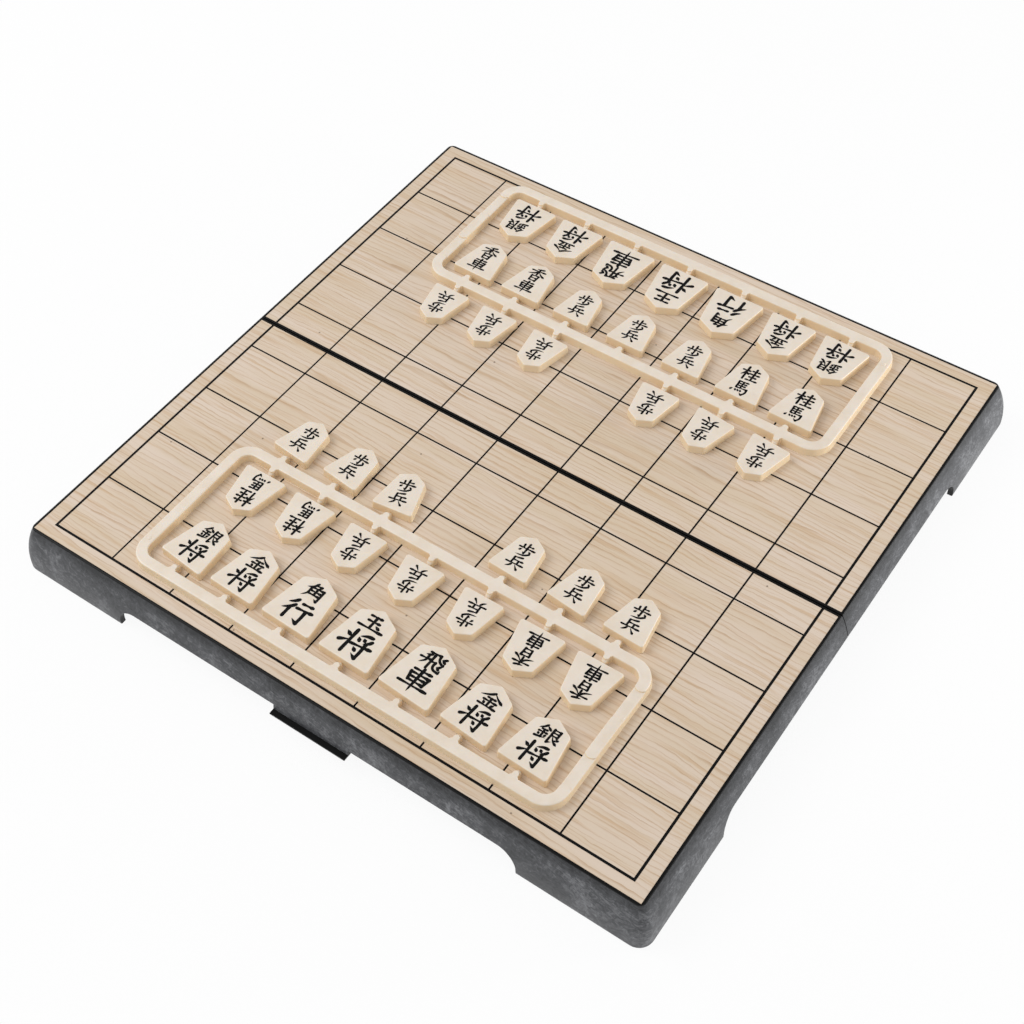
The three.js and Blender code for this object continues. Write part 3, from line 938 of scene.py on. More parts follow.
@dataclass
class CaseHalf:
    """One moulded half of the case, built as the near half and turned about for the far one."""

    side: Side
    sizes: CaseSizes
    latch: LatchSizes
    corner_steps: int = 12
    wall_levels: int = 14
    rounding_steps: int = 4
    arch_steps: int = 16
    cross_rib_shares: tuple[float, ...] = (-0.75, -0.375, 0.0, 0.375, 0.75)
    long_rib_shares: tuple[float, ...] = (0.34, 0.67)
    softening: float = 0.22
    softening_steps: int = 2
    # A face this near the top is the rim's land, and one this near the fold is left plain black.
    rim_band: float = 0.25
    seam_band: float = 0.4
    # A brushed face lies this near the wall's surface, and its normal has no more Z than this.
    wall_tolerance: float = 0.3
    wall_lean: float = 0.6

    def outline(self, depth_share: float, inset: float, fold_edge: float) -> list[Point]:
        """Draws the half's plan at a share of the way down.

        Args:
            depth_share: 0 at the rim and 1 at the foot.
            inset: How far inside the outer wall the outline lies.
            fold_edge: How far from the fold it starts.

        Returns:
            The outline, anticlockwise.
        """
        sizes = self.sizes
        half_width = sizes.rim_half_width + sizes.flare_at(depth_share) - inset
        length = sizes.rim_half_length + sizes.flare_at(depth_share) - inset
        # An inner corner keeps at least half the radius that the rim's corners have.
        radius = max(sizes.corner_at(depth_share) - inset, sizes.rim_corner / 2)
        return [
            (half_width, -fold_edge),
            (-half_width, -fold_edge),
            *arc((radius - half_width, radius - length), radius, math.pi, 3 * QUARTER_TURN,
                 self.corner_steps),
            *arc((half_width - radius, radius - length), radius, 3 * QUARTER_TURN, 2 * math.pi,
                 self.corner_steps),
        ]

    def rounding(self, radius: float) -> list[Point]:
        """Returns how far along the wall, and how far in from it, the points of its rounded end lie."""
        turns = [QUARTER_TURN * step / self.rounding_steps for step in range(self.rounding_steps + 1)]
        return [(radius * (1 - math.cos(turn)), radius * (1 - math.sin(turn))) for turn in turns]

    def body(self) -> Object:
        """Makes the outer form, with its rim and its foot rounded.

        Returns:
            The new solid.
        """
        sizes = self.sizes
        low, high = sizes.foot_rounding, sizes.height - sizes.rim_rounding
        heights = [low + (high - low) * level / self.wall_levels for level in range(1, self.wall_levels)]
        places = self.rounding(sizes.foot_rounding)
        places += [(height, 0.0) for height in sorted([*heights, sizes.height - self.rim_band])]
        rim = reversed(self.rounding(sizes.rim_rounding))
        places += [(sizes.height - down, inset) for down, inset in rim]
        # Along the fold the edges are rounded half as far.
        levels = [
            (z, self.outline(1 - z / sizes.height, inset, sizes.fold_gap / 2 + inset / 2))
            for z, inset in places
        ]
        return stack("case_body", levels)

    def hollow(self) -> Object:
        """Makes the space under the deck.

        Returns:
            The cutter.
        """
        sizes = self.sizes
        edge = sizes.fold_gap / 2 + sizes.wall
        levels = [(-OVERRUN, self.outline(1.0, sizes.wall, edge))]
        for level in range(self.wall_levels // 2 + 1):
            z = sizes.deck_bottom * level * 2 / self.wall_levels
            levels.append((z, self.outline(1 - z / sizes.height, sizes.wall, edge)))
        return stack("hollow", levels)

    def recess(self) -> Object:
        """Makes the shallow bed of the steel plate and the printed sheet.

        Returns:
            The cutter.
        """
        sizes = self.sizes
        half_width = sizes.rim_half_width - sizes.rim_width
        return block(
            "recess",
            (-half_width, sizes.rim_width - sizes.rim_half_length, sizes.deck_top),
            (half_width, sizes.recess_clearance - sizes.fold_rim, sizes.height + OVERRUN),
        )

    def tab_span(self) -> tuple[float, float, float, float]:
        """Works out where the latch tab lies on the near half's wall.

        Returns:
            Its left, right, lower and upper edge.
        """
        latch, sizes = self.latch, self.sizes
        lip_top = sizes.arch_height - latch.tab_drop
        left = latch.centre - latch.width / 2
        return left, left + latch.width, lip_top - latch.lip_thickness, lip_top

    def outer_arch(self) -> Object:
        """Makes the long arch of the outer wall, less the near half's latch tab.

        Returns:
            The cutter.
        """
        sizes = self.sizes
        reach, corner, top = sizes.near_foot_reach, sizes.arch_corner, sizes.arch_height
        low = top - corner
        shape = [(reach, -OVERRUN)]
        shape += arc((reach - corner, low), corner, 0, QUARTER_TURN, self.arch_steps)
        if self.side is Side.NEAR:
            left, right, bottom, _ = self.tab_span()
            shape += [(right, top), (right, bottom), (left, bottom), (left, top)]
        shape += arc((corner - reach, low), corner, QUARTER_TURN, math.pi, self.arch_steps)
        shape.append((-reach, -OVERRUN))
        inside = sizes.rim_half_length - sizes.wall
        outside = sizes.rim_half_length + sizes.flare + OVERRUN
        return loft("outer_arch", [[(x, -y, z) for x, z in shape] for y in (inside, outside)])

    def side_arches(self) -> Object:
        """Makes the arches of both side walls, which run on through the fold wall's foot.

        Returns:
            The cutter.
        """
        sizes = self.sizes
        reach, corner, top = sizes.side_foot_reach, sizes.arch_corner, sizes.arch_height
        shape = [(-reach, -OVERRUN), (OVERRUN, -OVERRUN), (OVERRUN, top)]
        shape += arc((corner - reach, top - corner), corner, QUARTER_TURN, math.pi, self.arch_steps)
        far = sizes.rim_half_width + sizes.flare + OVERRUN
        return loft("side_arches", [[(x, y, z) for y, z in shape] for x in (-far, far)])

    def ribs(self) -> list[Object]:
        """Makes the ribs under the deck.

        Returns:
            The new solids.
        """
        sizes = self.sizes
        low, top = sizes.deck_bottom - sizes.rib_depth, sizes.deck_bottom + sizes.deck / 2
        half_width = sizes.rim_half_width - sizes.wall / 2
        length = sizes.rim_half_length - sizes.wall / 2
        fold_edge = (sizes.fold_gap + sizes.wall) / 2
        half = sizes.rib_thickness / 2
        made = [
            block("rib", (share * half_width - half, -length, low),
                  (share * half_width + half, -fold_edge, top))
            for share in self.cross_rib_shares
        ]
        made += [
            block("rib", (-half_width, -share * length - half, low),
                  (half_width, -share * length + half, top))
            for share in self.long_rib_shares
        ]
        return made

    def knuckle_spans(self) -> list[Span]:
        """Works out the stretches of X that this half's knuckles take at both hinges.

        Returns:
            Each knuckle's start and end.
        """
        sizes = self.sizes
        middle, end = sizes.middle_knuckle / 2, sizes.hinge_half_length
        start = middle + sizes.knuckle_gap
        spans = [(-end, -start), (start, end)] if self.side is Side.NEAR else [(-middle, middle)]
        stations = (-sizes.hinge_station, sizes.hinge_station)
        return [(station + low, station + high) for station in stations for low, high in spans]

    def knuckles(self) -> list[Object]:
        """Makes the hinge knuckles and the arms that they hang on.

        Returns:
            The new solids.
        """
        sizes = self.sizes
        back = -(sizes.fold_gap / 2 + sizes.wall)
        made = []
        for span in self.knuckle_spans():
            made.append(rod("knuckle", sizes.knuckle, span, (0.0, sizes.hinge_height)))
            made.append(block(
                "arm", (span[0], back, sizes.hinge_height),
                (span[1], -sizes.fold_gap / 2, sizes.arch_height + sizes.wall),
            ))
        return made

    def hinge_bores(self) -> list[Object]:
        """Makes the bores that the hinge pins lie in.

        Returns:
            The cutters.
        """
        sizes = self.sizes
        half = sizes.hinge_half_length + OVERRUN
        return [
            rod("bore", sizes.hinge_pin + sizes.bore_clearance, (station - half, station + half),
                (0.0, sizes.hinge_height))
            for station in (-sizes.hinge_station, sizes.hinge_station)
        ]

    def latch_parts(self) -> tuple[list[Object], list[Object]]:
        """Makes what the latch adds to this half.

        Returns:
            The new solids, and the cutters for the bores in them.
        """
        sizes, latch = self.sizes, self.latch
        left, right, low, top = self.tab_span()
        if self.side is Side.NEAR:
            reach = sizes.wall_face_at(top) + latch.lip_reach
            inner = latch.lip_reach + sizes.wall / 2 - reach
            return [block("lip", (left, -reach, low), (right, inner, top))], []
        pivot, height = clasp_pivot(sizes, latch)
        ears = []
        for edge in (-1, 1):
            outer = -latch.centre + edge * latch.width / 2
            span = tuple(sorted((outer, outer - edge * latch.ear)))
            ears.append(rod("ear", latch.barrel, span, (-pivot, height)))
            ears.append(block(
                "ear_root", (span[0], -pivot, height),
                (span[1], sizes.wall - pivot, sizes.arch_height + sizes.wall / 2),
            ))
        half = latch.width / 2 + OVERRUN
        bore = rod("bore", latch.pin + sizes.bore_clearance,
                   (-latch.centre - half, -latch.centre + half), (-pivot, height))
        return ears, [bore]

    def surface_of(self, face: MeshPolygon) -> Surface:
        """Finds out which surface of the near half a face is part of.

        Args:
            face: A face of the half's mesh, before the half is turned to its side.

        Returns:
            The rim's land and the lip as the smoother black, painted darker as a dark reflection,
            the outer wall as marbled, all else as plain.
        """
        sizes = self.sizes
        x, y, z = face.center / MM
        # The rim's land and the lip take the smoother black, painted darker as a dark reflection.
        if z > sizes.height - self.rim_band:
            return Surface.POLISHED
        if self.side is Side.NEAR and -y > sizes.wall_face_at(z) + self.wall_tolerance:
            return Surface.POLISHED
        if y > -self.seam_band or abs(face.normal.z) > self.wall_lean:
            return Surface.PLAIN
        share = 1 - z / sizes.height
        radius = sizes.corner_at(share)
        beyond_x = abs(x) - (sizes.rim_half_width + sizes.flare_at(share) - radius)
        beyond_y = -y - (sizes.rim_half_length + sizes.flare_at(share) - radius)
        outside = math.hypot(max(beyond_x, 0.0), max(beyond_y, 0.0))
        distance = outside + min(max(beyond_x, beyond_y), 0.0) - radius
        return Surface.MARBLED if abs(distance) < self.wall_tolerance else Surface.PLAIN

    def build(self, finishes: Finishes) -> None:
        """Makes the half in its place.

        Args:
            finishes: The materials.
        """
        shell = self.body()
        shell.name = f"{self.side.value}_case"
        combine(shell, [self.hollow(), self.recess(), self.outer_arch(), self.side_arches()], Work.CUT)
        extras, bores = self.latch_parts()
        combine(shell, self.ribs() + self.knuckles() + extras, Work.JOIN)
        combine(shell, self.hinge_bores() + bores, Work.CUT)
        soften(shell, self.softening, self.softening_steps)
        dress(shell, finishes.black)
        shell.data.materials.append(finishes.wall)
        shell.data.materials.append(finishes.polished)
        for face in shell.data.polygons:
            face.material_index = self.surface_of(face).value
        turn_about(shell, half_place(self.side))
        shade(shell)
        settle(shell, f"{self.side.value}_half", (f"{self.side.value}_case_shell",))


def half_place(side: Side) -> Matrix:
    """Returns the matrix that puts a half, built as the near one, in its place."""
    turn = 0.0 if side is Side.NEAR else math.pi
    return Matrix.Translation((0.0, FOLD_LINE, 0.0)) @ Matrix.Rotation(turn, 4, "Z")


def clasp_pivot(sizes: CaseSizes, latch: LatchSizes) -> Point:
    """Returns how far out from the fold, and how high, the clasp's pin lies."""
    return sizes.wall_face_at(sizes.arch_height), sizes.arch_height - latch.wall_gap - latch.barrel


@dataclass
class Clasp:
    """The swinging clasp under the far half's raised edge, with its pin."""

    sizes: CaseSizes
    latch: LatchSizes
    pin_chamfer: float = 0.2

    def reach_and_depth(self) -> tuple[float, float, float]:
        """Works out the clasp's own form from where the lip lies on the folded board.

        Returns:
            How far out from the pin the plate's inner face lies, and how far down from the pin the
            hook's upper face and the lowest face lie.
        """
        sizes, latch = self.sizes, self.latch
        pivot, height = clasp_pivot(sizes, latch)
        rise = height - sizes.hinge_height
        # The far half turns until its feet nearly meet the near half's.
        folded = math.pi - math.asin(
            (2 * sizes.hinge_height + sizes.foot_meet_gap) / sizes.side_foot_reach
        )
        # The pin then lies about this far out along the near half, and this far below its feet.
        folded_reach = rise * math.sin(folded) - pivot * math.cos(folded)
        folded_depth = pivot * math.sin(folded) - rise * math.cos(folded) - sizes.hinge_height
        lip_top = sizes.arch_height - latch.tab_drop
        near_reach = sizes.wall_face_at(lip_top) + latch.lip_reach
        inner = near_reach - folded_reach + latch.catch_gap
        catch = folded_depth + lip_top + latch.catch_gap
        return inner, catch, catch + latch.hook_thickness

    def rest_turn(self) -> float:
        """Works out how far the clasp swings in under the case, just clear of the floor.

        Returns:
            The angle from upright, in radians.
        """
        inner, _, depth = self.reach_and_depth()
        outer = inner + self.latch.thickness
        _, height = clasp_pivot(self.sizes, self.latch)
        return math.atan2(outer, depth) + math.acos(
            (height - self.latch.floor_gap) / math.hypot(outer, depth)
        )

    def place(self) -> Matrix:
        """Works out where the clasp's pin lies on the board.

        Returns:
            The matrix from the pin's frame to the board's.
        """
        pivot, height = clasp_pivot(self.sizes, self.latch)
        seat = Matrix.Translation((-self.latch.centre, -pivot, height))
        return half_place(Side.FAR) @ seat

    def build(self, finishes: Finishes) -> None:
        """Makes the clasp and its pin in their places.

        Args:
            finishes: The materials.
        """
        latch = self.latch
        inner, catch, depth = self.reach_and_depth()
        outer = inner + latch.thickness
        half = latch.width / 2 - latch.ear - latch.side_gap
        top = latch.thickness - latch.barrel
        clasp = rod("latch_clasp_moulding", latch.barrel, (-half, half), (0.0, 0.0))
        combine(clasp, [
            block("crank", (-half, -outer, -latch.barrel), (half, 0.0, top)),
            block("plate", (-half, -outer, -depth), (half, -inner, top)),
            block("hook", (-half, -outer, -depth), (half, latch.hook_reach - inner, -catch)),
        ], Work.JOIN)
        bore = rod("bore", latch.pin + self.sizes.bore_clearance, (-half - OVERRUN, half + OVERRUN),
                   (0.0, 0.0))
        combine(clasp, [bore], Work.CUT)
        soften(clasp, latch.softening, latch.softening_steps)
        turn_about(clasp, self.place() @ Matrix.Rotation(self.rest_turn(), 4, "X"))
        shade(clasp)
        dress(clasp, finishes.black)
        settle(clasp, "clasp", ("latch_clasp",))
        pin = rod("clasp_pin_wire", latch.pin, (-latch.width / 2, latch.width / 2), (0.0, 0.0),
                  self.pin_chamfer)
        turn_about(pin, self.place())
        shade(pin)
        dress(pin, finishes.wire)
        settle(pin, "far_half", ("clasp_pin",))


@dataclass
class HingePins:
    """The two wires that join the halves under the fold."""

    sizes: CaseSizes
    chamfer: float = 0.2

    def build(self, finish: Material) -> None:
        """Makes both pins in their places.

        Args:
            finish: The pins' material.
        """
        sizes = self.sizes
        half = sizes.hinge_half_length
        for name, station in (("left", -sizes.hinge_station), ("right", sizes.hinge_station)):
            pin = rod(f"{name}_hinge_pin_wire", sizes.hinge_pin, (station - half, station + half),
                      (FOLD_LINE, sizes.hinge_height), self.chamfer)
            shade(pin)
            dress(pin, finish)
            settle(pin, "near_half", (f"{name}_hinge_pin",))


# Print

@dataclass
class RuledLines:
    """The nine by nine grid printed on both sheets, as a thin layer of ink that soaks in a little."""

    sizes: CaseSizes
    column: float = 25.4
    row: float = 25.07
    columns: int = 9
    frame_from_fold: float = 113.65
    frame_line: float = 0.9
    thin_line: float = 0.62
    ink: float = 0.025
    soak: float = 0.01

    def bands(self) -> tuple[list[Span], list[Span]]:
        """Works out which stretches hold ink.

        Returns:
            Those of X, and those of distance from the fold.
        """
        edge = self.column * self.columns / 2
        across = [(-edge, self.frame_line), (edge, self.frame_line)]
        across += [(self.column * step - edge, self.thin_line) for step in range(1, self.columns)]
        along = [(self.frame_from_fold, self.frame_line)]
        along += [(self.frame_from_fold - self.row * step, self.thin_line)
                  for step in range(1, math.ceil(self.columns / 2))]
        as_span = [[(middle - width / 2, middle + width / 2) for middle, width in lines]
                   for lines in (across, along)]
        return sorted(as_span[0]), sorted(as_span[1])

    def build(self, side: Side, finish: Material) -> None:
        """Makes one half's lines as one thin solid.

        Args:
            side: The half that they are printed on.
            finish: The ink's material.
        """
        across, along = self.bands()
        inner_edge = self.sizes.fold_rim
        xs = sorted({value for span in across for value in span})
        ys = sorted({value for span in along for value in span} | {inner_edge})
        x_inked = [any(low <= (a + b) / 2 <= high for low, high in across) for a, b in zip(xs, xs[1:])]
        y_inked = [any(low <= (a + b) / 2 <= high for low, high in along) for a, b in zip(ys, ys[1:])]
        inked = {(i, j) for i, x in enumerate(x_inked) for j, y in enumerate(y_inked) if x or y}
        levels = (SHEET_TOP - self.soak, SHEET_TOP + self.ink)
        numbers: dict[tuple[int, int, int], int] = {}
        points: list[Place] = []

        def corner(i: int, j: int, level: int) -> int:
            """Numbers a lattice corner, and makes its point on first use.

            Args:
                i: The corner's place along X.
                j: Its place from the fold outwards.
                level: 0 for the foot of the ink and 1 for its top.

            Returns:
                The point's number.
            """
            if (i, j, level) not in numbers:
                numbers[i, j, level] = len(points)
                points.append((xs[i], -ys[j], levels[level]))
            return numbers[i, j, level]

        faces = []
        for i, j in sorted(inked):
            faces.append(tuple(corner(a, b, 1) for a, b in
                               ((i, j + 1), (i + 1, j + 1), (i + 1, j), (i, j))))
            faces.append(tuple(corner(a, b, 0) for a, b in
                               ((i, j), (i + 1, j), (i + 1, j + 1), (i, j + 1))))
            walls = (
                ((i, j - 1), (i + 1, j), (i, j)),
                ((i, j + 1), (i, j + 1), (i + 1, j + 1)),
                ((i - 1, j), (i, j), (i, j + 1)),
                ((i + 1, j), (i + 1, j + 1), (i + 1, j)),
            )
            for neighbour, start, end in walls:
                if neighbour not in inked:
                    faces.append((corner(*start, 0), corner(*end, 0), corner(*end, 1),
                                  corner(*start, 1)))
        lines = make_object(f"{side.value}_ruled_lines", points, faces)
        turn_about(lines, half_place(side))
        dress(lines, finish)
        settle(lines, f"{side.value}_half")


# Characters on the men

class Brush(Enum):
    """The kinds of brush stroke: at shares of the way along, the width as a share of the pen's."""

    LEVEL = ((0.0, 0.8), (0.1, 0.85), (0.35, 0.55), (0.7, 0.6), (0.88, 1.05), (1.0, 0.8))
    UPRIGHT = ((0.0, 0.95), (0.12, 1.0), (0.45, 0.82), (0.85, 0.9), (1.0, 0.9))
    NEEDLE = ((0.0, 0.95), (0.12, 1.0), (0.55, 0.85), (0.82, 0.7), (1.0, 0.12))
    FALL_LEFT = ((0.0, 0.85), (0.15, 1.0), (0.5, 0.8), (0.82, 0.48), (1.0, 0.1))
    FALL_RIGHT = ((0.0, 0.3), (0.35, 0.55), (0.7, 0.95), (0.84, 1.15), (1.0, 0.12))
    DOT = ((0.0, 0.25), (0.35, 0.75), (0.75, 1.1), (1.0, 0.8))
    RISE = ((0.0, 1.0), (0.2, 0.95), (0.6, 0.6), (1.0, 0.1))
    HOOK = ((0.0, 1.0), (0.3, 0.85), (1.0, 0.08))
    BEND = ((0.0, 1.05), (0.25, 0.9), (0.8, 0.85), (1.0, 0.95))

    def width_at(self, share: float) -> float:
        """Reads the stroke's width off its row of widths.

        Args:
            share: How far along the stroke, from 0 to 1.

        Returns:
            The width, as a share of the pen's.
        """
        for (start, low), (end, high) in zip(self.value, self.value[1:]):
            if share <= end:
                return low + (high - low) * (share - start) / (end - start)
        return self.value[-1][1]


Stroke = tuple[Brush, tuple[Point, ...]]


class Character(Enum):
    """The traditional characters that name the men, as strokes on a square of 100 by 100."""

    KING = (
        (Brush.LEVEL, ((20, 92), (78, 97))),
        (Brush.LEVEL, ((24, 53), (76, 58))),
        (Brush.UPRIGHT, ((49, 94), (49, 8))),
        (Brush.LEVEL, ((0, 3), (100, 9))),
    )
    JADE = (
        (Brush.LEVEL, ((20, 94), (66, 99))),
        (Brush.LEVEL, ((22, 56), (70, 61))),
        (Brush.UPRIGHT, ((46, 96), (45, 8))),
        (Brush.LEVEL, ((0, 2), (100, 9))),
        (Brush.DOT, ((62, 40), (78, 27))),
    )
    GENERAL = (
        (Brush.DOT, ((6, 79), (19, 69))),
        (Brush.RISE, ((0, 36), (27, 54))),
        (Brush.UPRIGHT, ((29, 98), (27, 3))),
        (Brush.FALL_LEFT, ((82, 98), (66, 95), (46, 83))),
        (Brush.DOT, ((46, 78), (53, 66))),
        (Brush.DOT, ((62, 82), (68, 74))),
        (Brush.FALL_LEFT, ((88, 84), (82, 74), (68, 62))),
        (Brush.LEVEL, ((36, 45), (100, 55))),
        (Brush.BEND, ((77, 66), (78, 30), (77, 3))),
        (Brush.HOOK, ((77, 2), (58, 14))),
        (Brush.DOT, ((52, 37), (62, 27))),
    )
    GOLD = (
        (Brush.FALL_LEFT, ((50, 100), (32, 78), (0, 54))),
        (Brush.FALL_RIGHT, ((50, 98), (72, 76), (100, 56))),
        (Brush.LEVEL, ((33, 59), (67, 62))),
        (Brush.LEVEL, ((22, 37), (80, 41))),
        (Brush.UPRIGHT, ((50, 60), (50, 6))),
        (Brush.DOT, ((27, 27), (34, 14))),
        (Brush.DOT, ((76, 29), (66, 14))),
        (Brush.LEVEL, ((12, 1), (90, 5))),
    )
    SILVER = (
        (Brush.FALL_LEFT, ((26, 98), (16, 80), (0, 62))),
        (Brush.DOT, ((28, 92), (46, 76))),
        (Brush.LEVEL, ((14, 63), (36, 66))),
        (Brush.LEVEL, ((6, 44), (42, 48))),
        (Brush.UPRIGHT, ((25, 64), (25, 12))),
        (Brush.DOT, ((7, 34), (13, 24))),
        (Brush.DOT, ((43, 38), (37, 26))),
        (Brush.RISE, ((2, 6), (46, 19))),
        (Brush.LEVEL, ((58, 93), (86, 96))),
        (Brush.BEND, ((86, 96), (85, 52))),
        (Brush.LEVEL, ((60, 75), (84, 77))),
        (Brush.LEVEL, ((60, 55), (84, 57))),
        (Brush.UPRIGHT, ((58, 96), (57, 6))),
        (Brush.HOOK, ((57, 4), (73, 17))),
        (Brush.FALL_LEFT, ((94, 44), (86, 36), (76, 31))),
        (Brush.FALL_RIGHT, ((66, 54), (78, 28), (100, 10))),
    )
    ANGLE = (
        (Brush.FALL_LEFT, ((42, 100), (28, 76), (0, 60))),
        (Brush.LEVEL, ((38, 88), (68, 91))),
        (Brush.FALL_LEFT, ((69, 92), (62, 80), (54, 72))),
        (Brush.FALL_LEFT, ((24, 72), (23, 30), (2, 2))),
        (Brush.LEVEL, ((24, 70), (92, 75))),
        (Brush.BEND, ((93, 76), (94, 30), (93, 6))),
        (Brush.HOOK, ((93, 4), (74, 14))),
        (Brush.LEVEL, ((26, 51), (90, 54))),
        (Brush.LEVEL, ((24, 31), (90, 34))),
        (Brush.UPRIGHT, ((58, 72), (58, 33))),
    )
    GOING = (
        (Brush.FALL_LEFT, ((32, 98), (22, 84), (6, 70))),
        (Brush.FALL_LEFT, ((34, 72), (22, 54), (0, 34))),
        (Brush.UPRIGHT, ((23, 54), (23, 3))),
        (Brush.LEVEL, ((52, 90), (88, 95))),
        (Brush.LEVEL, ((44, 62), (100, 70))),
        (Brush.BEND, ((78, 64), (79, 30), (78, 3))),
        (Brush.HOOK, ((78, 1), (56, 14))),
    )
    FLYING = (
        (Brush.LEVEL, ((22, 88), (64, 94))),
        (Brush.BEND, ((64, 95), (67, 76), (76, 62), (92, 54))),
        (Brush.HOOK, ((92, 53), (94, 68))),
        (Brush.FALL_LEFT, ((92, 93), (84, 86), (75, 81))),
        (Brush.DOT, ((78, 79), (92, 72))),
        (Brush.FALL_LEFT, ((34, 80), (26, 72), (12, 66))),
        (Brush.UPRIGHT, ((45, 88), (45, 0))),
        (Brush.LEVEL, ((0, 42), (44, 50))),
        (Brush.FALL_LEFT, ((26, 70), (25, 36), (8, 8))),
        (Brush.LEVEL, ((50, 45), (64, 48))),
        (Brush.BEND, ((64, 48), (64, 26), (74, 10), (96, 7))),
        (Brush.HOOK, ((96, 7), (98, 24))),
        (Brush.FALL_LEFT, ((90, 42), (84, 36), (76, 32))),
        (Brush.DOT, ((78, 31), (90, 23))),
    )
    CHARIOT = (
        (Brush.LEVEL, ((18, 87), (78, 93))),
        (Brush.UPRIGHT, ((16, 72), (23, 40))),
        (Brush.LEVEL, ((18, 71), (80, 76))),
        (Brush.BEND, ((81, 76), (76, 41))),
        (Brush.LEVEL, ((26, 56), (74, 60))),
        (Brush.LEVEL, ((25, 41), (76, 44))),
        (Brush.LEVEL, ((0, 22), (100, 30))),
        (Brush.NEEDLE, ((47, 100), (47, 0))),
    )
    LAUREL = (
        (Brush.LEVEL, ((0, 66), (38, 71))),
        (Brush.UPRIGHT, ((23, 99), (23, 0))),
        (Brush.FALL_LEFT, ((22, 66), (15, 46), (1, 26))),
        (Brush.DOT, ((27, 56), (38, 44))),
        (Brush.LEVEL, ((50, 78), (88, 83))),
        (Brush.UPRIGHT, ((67, 99), (67, 54))),
        (Brush.LEVEL, ((44, 53), (94, 58))),
        (Brush.LEVEL, ((50, 30), (86, 34))),
        (Brush.UPRIGHT, ((67, 50), (67, 8))),
        (Brush.LEVEL, ((42, 4), (100, 10))),
    )
    HORSE = (
        (Brush.UPRIGHT, ((24, 94), (26, 44))),
        (Brush.LEVEL, ((26, 94), (80, 99))),
        (Brush.LEVEL, ((28, 77), (76, 81))),
        (Brush.LEVEL, ((28, 61), (76, 65))),
        (Brush.UPRIGHT, ((52, 96), (52, 46))),
        (Brush.LEVEL, ((26, 43), (94, 49))),
        (Brush.BEND, ((94, 50), (95, 24), (82, 2))),
        (Brush.HOOK, ((82, 1), (64, 12))),
        (Brush.DOT, ((12, 28), (3, 14))),
        (Brush.DOT, ((28, 30), (34, 20))),
        (Brush.DOT, ((44, 32), (50, 22))),
        (Brush.DOT, ((60, 34), (66, 24))),
    )
    FRAGRANT = (
        (Brush.FALL_LEFT, ((70, 100), (54, 94), (30, 90))),
        (Brush.LEVEL, ((8, 76), (88, 82))),
        (Brush.UPRIGHT, ((50, 94), (50, 50))),
        (Brush.FALL_LEFT, ((48, 76), (32, 58), (0, 44))),
        (Brush.FALL_RIGHT, ((52, 76), (72, 58), (100, 45))),
        (Brush.UPRIGHT, ((30, 40), (33, 2))),
        (Brush.LEVEL, ((30, 39), (70, 43))),
        (Brush.BEND, ((71, 43), (68, 2))),
        (Brush.LEVEL, ((35, 22), (66, 24))),
        (Brush.LEVEL, ((34, 3), (67, 5))),
    )
    STEP = (
        (Brush.UPRIGHT, ((50, 100), (50, 62))),
        (Brush.LEVEL, ((52, 81), (78, 85))),
        (Brush.UPRIGHT, ((24, 84), (27, 64))),
        (Brush.LEVEL, ((2, 58), (98, 66))),
        (Brush.BEND, ((51, 56), (51, 34), (50, 24))),
        (Brush.HOOK, ((50, 23), (38, 31))),
        (Brush.DOT, ((24, 48), (14, 35))),
        (Brush.DOT, ((70, 50), (82, 40))),
        (Brush.FALL_LEFT, ((84, 32), (56, 10), (12, 0))),
    )
    SOLDIER = (
        (Brush.FALL_LEFT, ((70, 100), (52, 93), (24, 86))),
        (Brush.UPRIGHT, ((28, 86), (29, 42))),
        (Brush.LEVEL, ((29, 66), (86, 71))),
        (Brush.UPRIGHT, ((63, 67), (63, 44))),
        (Brush.LEVEL, ((0, 36), (100, 45))),
        (Brush.FALL_LEFT, ((38, 30), (30, 16), (14, 2))),
        (Brush.FALL_RIGHT, ((60, 32), (72, 18), (88, 2))),
    )


@dataclass(frozen=True)
class Lettering:
    """One character on a man: where it stands and how large and heavy it is."""

    character: Character
    left: float
    right: float
    low: float
    high: float
    pen: float


